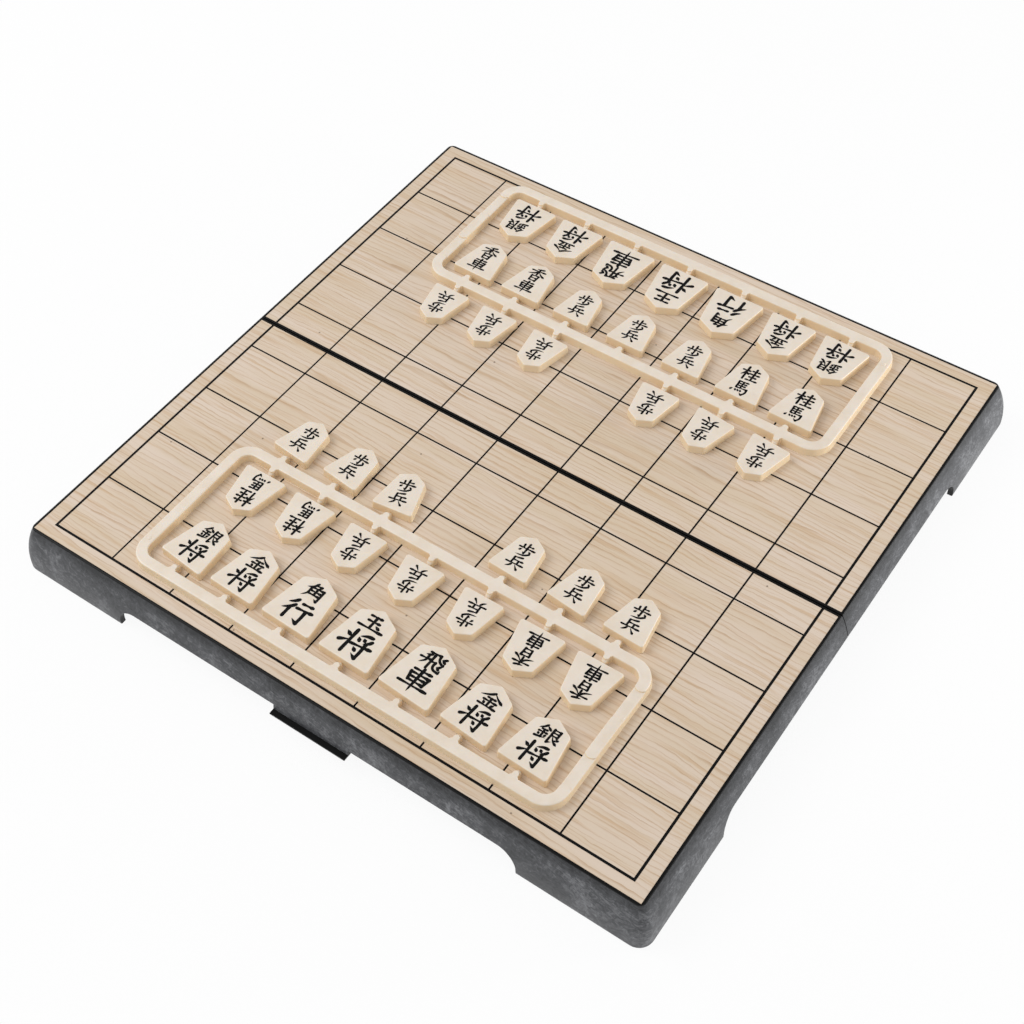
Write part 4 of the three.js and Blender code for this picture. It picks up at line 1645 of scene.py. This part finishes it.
@dataclass
class BrushWork:
    """Turns characters into thin solids of ink."""

    thickness: float = 0.03
    soak: float = 0.01
    samples: int = 9
    cap_steps: int = 5

    def centreline(self, points: list[Vector]) -> list[Vector]:
        """Draws a smooth line through a stroke's points.

        Args:
            points: The stroke's points.

        Returns:
            The line's points.
        """
        if len(points) == 2:
            steps = [step / (self.samples - 1) for step in range(self.samples)]
            return [points[0].lerp(points[1], share) for share in steps]
        ends = [points[0] * 2 - points[1], *points, points[-1] * 2 - points[-2]]
        line = []
        # Each stretch is a cubic curve whose slopes at its ends follow the points on either side.
        for before, start, end, after in zip(ends, ends[1:], ends[2:], ends[3:]):
            for step in range(self.samples):
                t = step / self.samples
                line.append(0.5 * (
                    2 * start + (end - before) * t
                    + (2 * before - 5 * start + 4 * end - after) * t ** 2
                    + (3 * start - before - 3 * end + after) * t ** 3
                ))
        return [*line, points[-1]]

    def edge(self, line: list[Vector], brush: Brush, pen: float) -> list[Point]:
        """Draws the outline of a stroke, with round ends.

        Args:
            line: The stroke's centreline.
            brush: The kind of stroke.
            pen: The pen's width.

        Returns:
            The outline, anticlockwise.
        """
        lengths = [0.0]
        for start, end in zip(line, line[1:]):
            lengths.append(lengths[-1] + (end - start).length)
        right, left = [], []
        for place, spot in enumerate(line):
            ahead = line[min(place + 1, len(line) - 1)] - line[max(place - 1, 0)]
            ahead.normalize()
            side = Vector((ahead.y, -ahead.x))
            half = pen / 2 * brush.width_at(lengths[place] / lengths[-1])
            right.append(spot + side * half)
            left.append(spot - side * half)
        outline = list(right)
        outline += self.cap(right[-1], left[-1])
        outline += reversed(left)
        outline += self.cap(left[0], right[0])
        return [(spot.x, spot.y) for spot in outline]

    def cap(self, start: Vector, end: Vector) -> list[Vector]:
        """Draws the round end of a stroke.

        Args:
            start: The edge point that it starts from.
            end: The edge point that it runs to.

        Returns:
            The points between those two.
        """
        middle, arm = (start + end) / 2, (start - end) / 2
        turns = [math.pi * step / self.cap_steps for step in range(1, self.cap_steps)]
        return [middle + Vector((arm.x * math.cos(a) - arm.y * math.sin(a),
                                 arm.x * math.sin(a) + arm.y * math.cos(a))) for a in turns]

    def write(self, name: str, lettering: tuple[Lettering, ...], face: float) -> Object:
        """Makes the ink of a man's characters as one solid.

        Args:
            name: The object's name.
            lettering: The characters, with their places.
            face: The height of the face that they are printed on.

        Returns:
            The new object.
        """
        strokes = []
        for letter in lettering:
            half = letter.pen / 2
            low = Vector((letter.left + half, letter.low + half))
            span = Vector((letter.right - half, letter.high - half)) - low
            for brush, points in letter.character.value:
                spots = [low + Vector((x * span.x, y * span.y)) / 100 for x, y in points]
                outline = self.edge(self.centreline(spots), brush, letter.pen)
                strokes.append(stack("stroke", [
                    (face - self.soak, outline), (face + self.thickness, outline),
                ]))
        strokes[0].name = name
        return combine(strokes[0], strokes[1:], Work.JOIN)


# Men and runners

@dataclass(frozen=True)
class ManSize:
    """The upper face of a man."""

    base: float
    length: float
    shoulder_width: float
    shoulder_height: float


class Rank(Enum):
    """The ranks of men, with their size and their lettering."""

    KING = (ManSize(19.9, 21.8, 14.3, 18.3), (
        Lettering(Character.JADE, -4.9, 5.3, 12.8, 19.1, 1.16),
        Lettering(Character.GENERAL, -6.4, 6.4, 1.2, 12.2, 1.4),
    ))
    OTHER_KING = (ManSize(19.9, 21.8, 14.3, 18.3), (
        Lettering(Character.KING, -4.8, 5.3, 12.6, 18.8, 1.16),
        Lettering(Character.GENERAL, -6.4, 6.4, 1.0, 11.9, 1.4),
    ))
    ROOK = (ManSize(19.9, 21.4, 14.1, 18.0), (
        Lettering(Character.FLYING, -5.0, 4.8, 11.4, 18.9, 1.04),
        Lettering(Character.CHARIOT, -5.4, 6.2, 1.2, 11.8, 1.22),
    ))
    BISHOP = (ManSize(19.9, 21.4, 14.1, 18.0), (
        Lettering(Character.ANGLE, -3.9, 3.8, 11.2, 18.6, 1.04),
        Lettering(Character.GOING, -5.8, 5.9, 1.2, 10.8, 1.4),
    ))
    GOLD = (ManSize(18.2, 19.8, 12.9, 16.6), (
        Lettering(Character.GOLD, -4.3, 4.8, 10.5, 16.9, 0.98),
        Lettering(Character.GENERAL, -5.2, 5.5, 1.2, 10.2, 1.16),
    ))
    SILVER = (ManSize(18.2, 19.8, 12.9, 16.6), (
        Lettering(Character.SILVER, -3.9, 4.9, 10.4, 16.8, 0.88),
        Lettering(Character.GENERAL, -5.0, 5.6, 1.1, 10.1, 1.16),
    ))
    KNIGHT = (ManSize(17.0, 18.1, 11.2, 15.3), (
        Lettering(Character.LAUREL, -4.1, 3.7, 8.4, 15.7, 0.92),
        Lettering(Character.HORSE, -3.7, 3.1, 0.9, 8.1, 0.85),
    ))
    LANCE = (ManSize(17.0, 18.1, 11.2, 15.3), (
        Lettering(Character.FRAGRANT, -4.3, 3.5, 8.2, 16.1, 0.85),
        Lettering(Character.CHARIOT, -4.2, 3.6, 0.8, 8.3, 0.88),
    ))
    PAWN = (ManSize(15.4, 17.1, 10.1, 14.5), (
        Lettering(Character.STEP, -3.4, 3.3, 7.6, 14.0, 0.81),
        Lettering(Character.SOLDIER, -3.5, 3.5, 1.6, 8.0, 0.83),
    ))

    @property
    def size(self) -> ManSize:
        """The rank's upper face."""
        return self.value[0]

    @property
    def lettering(self) -> tuple[Lettering, ...]:
        """The rank's characters."""
        return self.value[1]


def round_corners(corners: list[Point], radii: list[float], steps: int) -> list[Point]:
    """Rounds each corner of an outline.

    Args:
        corners: The corners, anticlockwise.
        radii: Each corner's radius.
        steps: How many stretches each rounding has.

    Returns:
        The rounded outline.
    """
    rounded = []
    for place, spot in enumerate(corners):
        corner = Vector(spot)
        back = (Vector(corners[place - 1]) - corner).normalized()
        ahead = (Vector(corners[(place + 1) % len(corners)]) - corner).normalized()
        half_angle = math.acos(max(-1.0, min(1.0, back.dot(ahead)))) / 2
        centre = corner + (back + ahead).normalized() * (radii[place] / math.sin(half_angle))
        start = math.atan2(back.x, -back.y)
        rounded += arc(tuple(centre), radii[place], start, start + math.pi - 2 * half_angle, steps)
    return rounded


@dataclass
class Man:
    """A moulded wedge-shaped man, with the disc magnet in its foot."""

    rank: Rank
    height: float = 3.4
    draft: float = 0.25
    edge: float = 0.42
    foot_edge: float = 0.1
    corner_radii: tuple[float, ...] = (0.85, 0.85, 1.3, 1.0, 1.3)
    corner_steps: int = 5
    edge_steps: int = 5
    magnet: float = 3.0
    magnet_thickness: float = 1.2
    magnet_place_share: float = 0.44
    magnet_gap: float = 0.05

    def outline(self, grow: float) -> list[Point]:
        """Draws the man's plan.

        Args:
            grow: How far the plan is grown all round.

        Returns:
            The outline, anticlockwise.
        """
        size = self.rank.size
        half = size.base / 2 + grow
        shoulder = size.shoulder_width / 2 + grow
        corners = [
            (-half, -grow), (half, -grow), (shoulder, size.shoulder_height + grow / 2),
            (0.0, size.length + grow), (-shoulder, size.shoulder_height + grow / 2),
        ]
        return round_corners(corners, list(self.corner_radii), self.corner_steps)

    def body(self) -> Object:
        """Makes the moulding, with its point towards +Y and its base edge's middle at the origin.

        Returns:
            The new solid.
        """
        side_top = self.height - self.edge
        levels = [
            (0.0, self.outline(self.draft - self.foot_edge)),
            (self.foot_edge, self.outline(self.draft)),
            (side_top, self.outline(0.0)),
        ]
        for step in range(1, self.edge_steps + 1):
            turn = QUARTER_TURN * step / self.edge_steps
            levels.append((side_top + self.edge * math.sin(turn),
                           self.outline(self.edge * (math.cos(turn) - 1))))
        solid = stack(f"{self.rank.name.lower()}_moulding", levels)
        pocket = stack("pocket", [
            (z, circle(self.magnet + self.magnet_gap, ROUND_SIDES, self.magnet_place()))
            for z in (-OVERRUN, self.magnet_thickness + self.magnet_gap)
        ])
        combine(solid, [pocket], Work.CUT)
        shade(solid)
        return solid

    def magnet_place(self) -> Point:
        """Returns where the magnet's middle lies."""
        return 0.0, self.rank.size.length * self.magnet_place_share

    def disc(self) -> Object:
        """Makes the magnet, with its rims broken.

        Returns:
            The new solid.
        """
        chamfer = self.magnet_gap * 2
        levels = [
            (0.0, self.magnet - chamfer), (chamfer, self.magnet),
            (self.magnet_thickness - chamfer, self.magnet), (self.magnet_thickness, self.magnet - chamfer),
        ]
        made = stack(f"{self.rank.name.lower()}_magnet", [
            (z, circle(radius, ROUND_SIDES, self.magnet_place())) for z, radius in levels
        ])
        shade(made)
        return made


@dataclass
class Runner:
    """The moulded ring that carries one set of men, with a gate for each of them."""

    half_width: float = 84.6
    half_length: float = 29.9
    width: float = 4.0
    height: float = 3.2
    draft: float = 0.3
    edge: float = 0.5
    edge_steps: int = 5
    top_steps: int = 8
    corner_radius: float = 8.0
    corner_steps: int = 14
    pad_half_length: float = 7.9
    step_start: float = 20.0
    step_depth: float = 0.45
    step_slope: float = 0.12
    pip_radius: float = 0.8
    pip_sides: int = 24
    pip_height: float = 0.3
    pip_from_middle: float = 20.5
    gate_length: float = 3.8
    gate_gap: float = 0.3
    gate_root: float = 3.3
    gate_nose: float = 2.1
    gate_top_share: float = 0.68
    gate_shoulder_share: float = 0.5
    gate_overlap: float = 1.2
    gate_edge: float = 0.3
    gate_steps: int = 6
    gate_place_shares: tuple[float, ...] = (-0.801, -0.545, -0.277, 0.0, 0.277, 0.545, 0.801)

    @property
    def gate_places(self) -> list[float]:
        """Where the gates lie along the bars."""
        return [share * self.half_width for share in self.gate_place_shares]

    def section(self) -> list[Point]:
        """Draws the bar's section.

        Returns:
            How far out and how high each point is, up the inner side first.
        """
        half = self.width / 2
        rounding = arc((half - self.edge, self.height - self.edge), self.edge, QUARTER_TURN, 0,
                       self.edge_steps)
        outer = [*rounding, (half + self.draft, 0.0)]
        flat = half - self.edge
        top = [(flat * (2 * step / self.top_steps - 1), self.height) for step in range(1, self.top_steps)]
        return [(-u, z) for u, z in reversed(outer)] + top + outer

    def step_rows(self) -> list[tuple[float, float, int]]:
        """Works out the rows of the bar with two steps in its top, on both sides of its middle.

        Returns:
            For each row, its place along the bar, how far down the top is, and which way its round
            end points: 1 along +Y, -1 along -Y, or 0 for a straight row.
        """
        half = self.width / 2
        corner, pad = self.step_start + half, self.pad_half_length - half
        rows = [
            (-corner, 0.0, 1),
            (-corner + self.step_slope, self.step_depth, 1),
            (-(corner + pad) / 2, self.step_depth, 0),
            (-pad - self.step_slope, self.step_depth, -1),
            (-pad, 0.0, -1),
            (0.0, 0.0, 0),
        ]
        return rows + [(-place, down, -sign) for place, down, sign in reversed(rows[:-1])]

    def row(self, centre: Point, turn: float, down: float = 0.0, sign: int = 0) -> list[Place]:
        """Places the section across the bar.

        Args:
            centre: The middle of the bar there.
            turn: The direction outwards, as an angle from +X.
            down: How far down the bar's top is.
            sign: Which way a step's round end points there, or 0 for none.

        Returns:
            The section's points.
        """
        half = self.width / 2
        radius = half + self.draft
        out = Vector((math.cos(turn), math.sin(turn)))
        along = Vector((-out.y, out.x))
        points = []
        for u, z in self.section():
            bulge = sign * math.sqrt(radius ** 2 - min(abs(u), half) ** 2)
            spot = Vector(centre) + out * u + along * bulge
            points.append((spot.x, spot.y, z - down if z > 0 else z))
        return points

    def ring(self) -> Object:
        """Makes the ring without its gates.

        Returns:
            The new solid.
        """
        bar_x, bar_y = self.half_width - self.width / 2, self.half_length - self.width / 2
        bend = self.corner_radius - self.width / 2
        x, y = bar_x - bend, bar_y - bend
        rows = [self.row((bar_x, place), 0.0, down, sign) for place, down, sign in self.step_rows()]
        for number, corner in enumerate(((x, y), (-x, y), (-x, -y), (x, -y))):
            for step in range(self.corner_steps + 1):
                turn = QUARTER_TURN * (number + step / self.corner_steps)
                spot = (corner[0] + bend * math.cos(turn), corner[1] + bend * math.sin(turn))
                rows.append(self.row(spot, turn))
        return loft("ring", rows, endless=True)

    def gate_outline(self, length: float, inset: float = 0.0) -> list[Point]:
        """Draws a gate's plan, with its nose along +Y.

        Args:
            length: How far the nose reaches from the bar's face.
            inset: How much the plan is taken in all round.

        Returns:
            The outline, anticlockwise.
        """
        root, nose = self.gate_root / 2 - inset, self.gate_nose / 2 - inset
        shoulder = (length - self.gate_nose / 2) * self.gate_shoulder_share
        tip = arc((0.0, length - inset - nose), nose, 0, math.pi, self.gate_steps * 2)
        return [(-root, -self.gate_overlap), (root, -self.gate_overlap), (root, 0.0),
                (nose, shoulder), *tip, (-nose, shoulder), (-root, 0.0)]

    def gate(self, x: float, y: float, upward: bool) -> Object:
        """Makes a gate: a blunt nose that runs out low down towards its man.

        Args:
            x: Where it lies along the bar.
            y: The bar's face.
            upward: Whether it points along +Y.

        Returns:
            The new solid.
        """
        reach = self.gate_length - self.gate_gap - Man.draft
        low, high = self.height / 2, self.height - self.gate_edge
        levels = [(0.0, self.gate_outline(reach)), (low, self.gate_outline(reach))]
        for step in range(1, self.gate_steps + 1):
            share = step / self.gate_steps
            # The nose draws back smoothly, with neither a corner where it starts nor where it ends.
            eased = share * share * (3 - 2 * share)
            length = reach * (1 - (1 - self.gate_top_share) * eased)
            levels.append((low + (high - low) * share, self.gate_outline(length)))
        for step in range(1, self.gate_steps + 1):
            turn = QUARTER_TURN * step / self.gate_steps
            outline = self.gate_outline(reach * self.gate_top_share, self.gate_edge * (1 - math.cos(turn)))
            levels.append((high + self.gate_edge * math.sin(turn), outline))
        made = stack("gate", levels)
        turn_about(made, Matrix.Translation((x, y, 0.0))
                   @ Matrix.Rotation(0.0 if upward else math.pi, 4, "Z"))
        return made

    def pip(self) -> Object:
        """Makes the small round pip that the ejector leaves on the plain end bar.

        Returns:
            The new solid.
        """
        place = (self.width / 2 - self.half_width, -self.pip_from_middle)
        levels = [(self.height / 2, circle(self.pip_radius, self.pip_sides, place))]
        for step in range(self.edge_steps + 1):
            turn = QUARTER_TURN * step / (self.edge_steps + 1)
            levels.append((self.height + self.pip_height * math.sin(turn),
                           circle(self.pip_radius * math.cos(turn), self.pip_sides, place)))
        return stack("pip", levels)

    def build(self, name: str, outer_gates: list[bool]) -> Object:
        """Makes the runner about its own middle.

        Args:
            name: The object's name.
            outer_gates: Whether each place has a gate on the outside of the inner bar.

        Returns:
            The new object.
        """
        inner = self.half_length - self.width
        tools = [self.pip()]
        for x, outside in zip(self.gate_places, outer_gates):
            tools += [self.gate(x, -inner, True), self.gate(x, inner, False)]
            if outside:
                tools.append(self.gate(x, self.half_length, True))
        made = combine(self.ring(), tools, Work.JOIN)
        made.name = name
        shade(made)
        return made


@dataclass(frozen=True)
class ManParts:
    """The meshes of one rank."""

    moulding: Object
    ink: Object
    magnet: Object


@dataclass
class ManShapes:
    """Makes each rank's meshes once."""

    finishes: Finishes
    brush_work: BrushWork = field(default_factory=BrushWork)
    made: dict[Rank, ManParts] = field(default_factory=dict)

    def of(self, rank: Rank) -> ManParts:
        """Makes a rank's meshes on first use, and keeps them out of the scene.

        Args:
            rank: The rank.

        Returns:
            The rank's meshes.
        """
        if rank not in self.made:
            man = Man(rank)
            parts = ManParts(
                man.body(),
                self.brush_work.write(f"{rank.name.lower()}_characters", rank.lettering, man.height),
                man.disc(),
            )
            for part, finish in (
                (parts.moulding, self.finishes.ivory),
                (parts.ink, self.finishes.ink),
                (parts.magnet, self.finishes.magnet),
            ):
                dress(part, finish)
                bpy.context.scene.collection.objects.unlink(part)
            self.made[rank] = parts
        return self.made[rank]

    def clear(self) -> None:
        """Removes the objects that only served as patterns."""
        for parts in self.made.values():
            for part in (parts.moulding, parts.ink, parts.magnet):
                bpy.data.objects.remove(part)
        self.made.clear()


def copy_of(pattern: Object, name: str) -> Object:
    """Copies an object, with a pattern's mesh and modifiers.

    Args:
        pattern: The object to copy.
        name: The copy's name.

    Returns:
        The copy, linked to the scene.
    """
    made = pattern.copy()
    made.name = name
    bpy.context.scene.collection.objects.link(made)
    return made


@dataclass(frozen=True)
class Seat:
    """One man's place on the runner."""

    name: str
    rank: Rank
    x: float
    y: float
    turn: float


@dataclass
class SetOfMen:
    """Twenty men round their runner, lying on one half of the board.

    Both sets are laid out as on the near half. The twists say, row by row, by how many degrees
    each man is turned from square, and an empty name is a place without a man.
    """

    side: Side
    runner: Runner
    shift: float
    from_fold: float
    twists: tuple[tuple[float, ...], ...]
    front_row: tuple[str, ...] = (
        "silver_left", "gold_left", "bishop", "king", "rook", "gold_right", "silver_right",
    )
    inner_row: tuple[str, ...] = (
        "knight_left", "knight_right", "pawn_1", "pawn_2", "pawn_3", "lance_left", "lance_right",
    )
    outer_row: tuple[str, ...] = ("pawn_4", "pawn_5", "pawn_6", "", "pawn_7", "pawn_8", "pawn_9")

    def rank_of(self, name: str) -> Rank:
        """Finds a man's rank. The far side's king has the other character.

        Args:
            name: The man's name in its row.

        Returns:
            The rank.
        """
        kind = name.split("_")[0].upper()
        if kind == "KING" and self.side is Side.FAR:
            return Rank.OTHER_KING
        return Rank[kind]

    def seats(self) -> list[Seat]:
        """Works out every man's place from the runner's own values.

        Returns:
            The places, row by row.
        """
        runner = self.runner
        inner = runner.half_length - runner.width - runner.gate_length
        rows = (
            (self.front_row, -inner, 0.0),
            (self.inner_row, inner, 180.0),
            (self.outer_row, runner.half_length + runner.gate_length, 0.0),
        )
        return [
            Seat(name, self.rank_of(name), x, y, math.radians(turn + twist))
            for (names, y, turn), twists in zip(rows, self.twists)
            for name, x, twist in zip(names, runner.gate_places, twists)
            if name
        ]

    def matrix(self, x: float = 0.0, y: float = 0.0, turn: float = 0.0) -> Matrix:
        """Works out where a place on the runner lies on the board.

        Args:
            x: The place along the runner's bars.
            y: The place across them.
            turn: How far what lies there is turned.

        Returns:
            The matrix, with its lengths in metres.
        """
        made = (
            half_place(self.side) @ Matrix.Translation((self.shift, -self.from_fold, SHEET_TOP))
            @ Matrix.Translation((x, y, 0.0)) @ Matrix.Rotation(turn, 4, "Z")
        )
        made.translation *= MM
        return made

    def build(self, shapes: ManShapes, finishes: Finishes) -> None:
        """Makes the runner and the men in their places.

        Args:
            shapes: The meshes that men of a rank share.
            finishes: The materials.
        """
        prefix = self.side.value
        body = f"{prefix}_set"
        runner = self.runner.build(f"{prefix}_runner_moulding", [bool(name) for name in self.outer_row])
        dress(runner, finishes.ivory)
        runner.matrix_world = self.matrix()
        settle(runner, body, (f"{prefix}_sprue_runner",))
        for seat in self.seats():
            parts = shapes.of(seat.rank)
            man = copy_of(parts.moulding, f"{prefix}_{seat.name}_moulding")
            man.matrix_world = self.matrix(seat.x, seat.y, seat.turn)
            settle(man, body, (f"{prefix}_{seat.name}",))
            for name, original in (("characters", parts.ink), ("magnet", parts.magnet)):
                extra = copy_of(original, f"{prefix}_{seat.name}_{name}")
                extra.parent = man
                LOG.info("%s on %s", extra.name, man.name)


# Studio

@dataclass
class Viewpoint:
    """The camera, from a fit to the photograph's ruled grid and rims.

    Its place is in millimetres, its angles are in degrees and the clip distances in metres. The
    focal length is a share of the sensor's width.
    """

    position: Place = (207.06, -291.23, 439.59)
    azimuth: float = 36.42
    elevation: float = 51.71
    roll: float = -2.02
    focal_share: float = 1.563
    sensor: float = 36.0
    clip_start: float = 0.01
    clip_end: float = 20.0

    def build(self) -> None:
        """Makes the camera and makes it the scene's own."""
        data = bpy.data.cameras.new("camera")
        data.sensor_width = self.sensor
        data.lens = self.sensor * self.focal_share
        data.clip_start = self.clip_start
        data.clip_end = self.clip_end
        camera = bpy.data.objects.new("camera", data)
        azimuth, elevation = math.radians(self.azimuth), math.radians(self.elevation)
        back = Vector((
            math.sin(azimuth) * math.cos(elevation), -math.cos(azimuth) * math.cos(elevation),
            math.sin(elevation),
        ))
        level = (-back).to_track_quat("-Z", "Y").to_matrix().to_4x4()
        camera.matrix_world = (
            Matrix.Translation(Vector(self.position) * MM) @ level
            @ Matrix.Rotation(math.radians(self.roll), 4, "Z")
        )
        bpy.context.scene.collection.objects.link(camera)
        bpy.context.scene.camera = camera


@dataclass(frozen=True)
class SoftLamp:
    """A square soft lamp that points at the board, with its sizes in metres and its power in watts."""

    name: str
    position: Place
    size: float
    power: float

    def build(self) -> None:
        """Makes the lamp in its place."""
        data = bpy.data.lights.new(self.name, "AREA")
        data.size = self.size
        data.energy = self.power
        lamp = bpy.data.objects.new(self.name, data)
        lamp.location = self.position
        lamp.rotation_euler = (-Vector(self.position)).to_track_quat("-Z", "Y").to_euler()
        bpy.context.scene.collection.objects.link(lamp)


@dataclass
class Studio:
    """A pale floor, a plain white surround and soft lamps."""

    floor_radius: float = 3000.0
    floor_sides: int = 64
    floor_drop: float = 0.05
    floor_card: str = "#f4f4f4"
    floor_clear_share: float = 0.93
    white: str = "#ffffff"
    dome: float = 0.6
    key_lamp: SoftLamp = SoftLamp("key_lamp", (-0.86, -0.36, 1.0), size=0.8, power=8.0)
    side_lamp: SoftLamp = SoftLamp("side_lamp", (0.46, 0.26, 0.08), size=0.12, power=1.1)

    def straight_ray(self, tree: NodeTree) -> NodeSocket:
        """Adds a switch between what is seen and what lights.

        Args:
            tree: The node tree.

        Returns:
            1 where a surface is seen, mirrored or looked through, and 0 where it lights.
        """
        path = add_node(tree, "LightPath")
        mirrored = add_node(tree, "Math", {
            0: path.outputs["Is Glossy Ray"], 1: path.outputs["Is Transmission Ray"],
        }, operation="ADD")
        return add_node(tree, "Math", {
            0: path.outputs["Is Camera Ray"], 1: mirrored.outputs[0],
        }, operation="ADD", use_clamp=True).outputs[0]

    def floor(self) -> None:
        """Makes the floor: seen straight it lets the white surround through and keeps a faint shadow."""
        floor = make_object("floor", [
            (x, y, -self.floor_drop) for x, y in circle(self.floor_radius, self.floor_sides)
        ], [tuple(range(self.floor_sides))])
        material = bpy.data.materials.new("studio_floor")
        material.use_nodes = True
        tree = material.node_tree
        tree.nodes.clear()
        card = add_node(tree, "BsdfDiffuse", {"Color": linear(self.floor_card)})
        clear = add_node(tree, "BsdfTransparent", {"Color": linear(self.white)})
        share = add_node(tree, "Math", {
            0: self.straight_ray(tree), 1: self.floor_clear_share,
        }, operation="MULTIPLY")
        mixed = add_node(tree, "MixShader", {
            0: share.outputs[0], 1: card.outputs[0], 2: clear.outputs[0],
        })
        add_node(tree, "OutputMaterial", {"Surface": mixed.outputs[0]})
        dress(floor, material)

    def surround(self) -> None:
        """Sets the world: white where it is seen or mirrored, softer where it lights."""
        world = bpy.data.worlds.new("surround")
        bpy.context.scene.world = world
        world.use_nodes = True
        tree = world.node_tree
        tree.nodes.clear()
        strength = add_node(tree, "Mix", {0: self.straight_ray(tree), 2: self.dome, 3: 1.0})
        light = add_node(tree, "Background", {
            "Color": linear(self.white), "Strength": strength.outputs[0],
        })
        add_node(tree, "OutputWorld", {"Surface": light.outputs[0]})

    def build(self) -> None:
        """Makes the floor, the surround and the lamps, for the plain Standard view."""
        self.floor()
        self.surround()
        self.key_lamp.build()
        self.side_lamp.build()
        bpy.context.scene.view_settings.view_transform = "Standard"


def dress_kept_nodes(finishes: Finishes) -> None:
    """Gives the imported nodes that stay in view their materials.

    Args:
        finishes: The materials.
    """
    for side in Side:
        for node, finish in (("playing_sheet", finishes.print), ("steel_plate", finishes.plate)):
            kept = frame["nodes"][f"{side.value}_{node}"]
            dress(kept, finish)
            LOG.info("%s kept", kept.name)


def main() -> None:
    """Builds the board and everything on it, part by part."""
    logging.basicConfig(level=logging.INFO, format="%(message)s")
    Viewpoint().build()
    Studio().build()
    finishes = build_finishes()
    sizes, latch = CaseSizes(), LatchSizes()
    for side in Side:
        CaseHalf(side, sizes, latch).build(finishes)
        RuledLines(sizes).build(side, finishes.ink)
    HingePins(sizes).build(finishes.wire)
    Clasp(sizes, latch).build(finishes)
    dress_kept_nodes(finishes)
    shapes = ManShapes(finishes)
    runner = Runner()
    near_set = SetOfMen(Side.NEAR, runner, shift=0.3, from_fold=81.2, twists=(
        (-5.5, -1.8, -1.6, -1.2, -3.2, -4.0, -1.8),
        (0.0, -0.4, 0.0, 0.0, 0.0, 1.0, 0.6),
        (-5.5, -6.4, 7.4, 0.0, -2.4, -5.0, -2.0),
    ))
    far_set = SetOfMen(Side.FAR, runner, shift=-0.3, from_fold=82.2, twists=(
        (-1.8, -0.8, 0.0, 0.0, 0.0, 0.0, -0.6),
        (-0.8, 0.0, 0.0, 0.0, 0.0, -0.8, -0.8),
        (-4.4, -5.4, 0.0, 0.0, -2.4, 0.0, 0.0),
    ))
    for men in (near_set, far_set):
        men.build(shapes, finishes)
    shapes.clear()


if __name__ == "__main__":
    main()
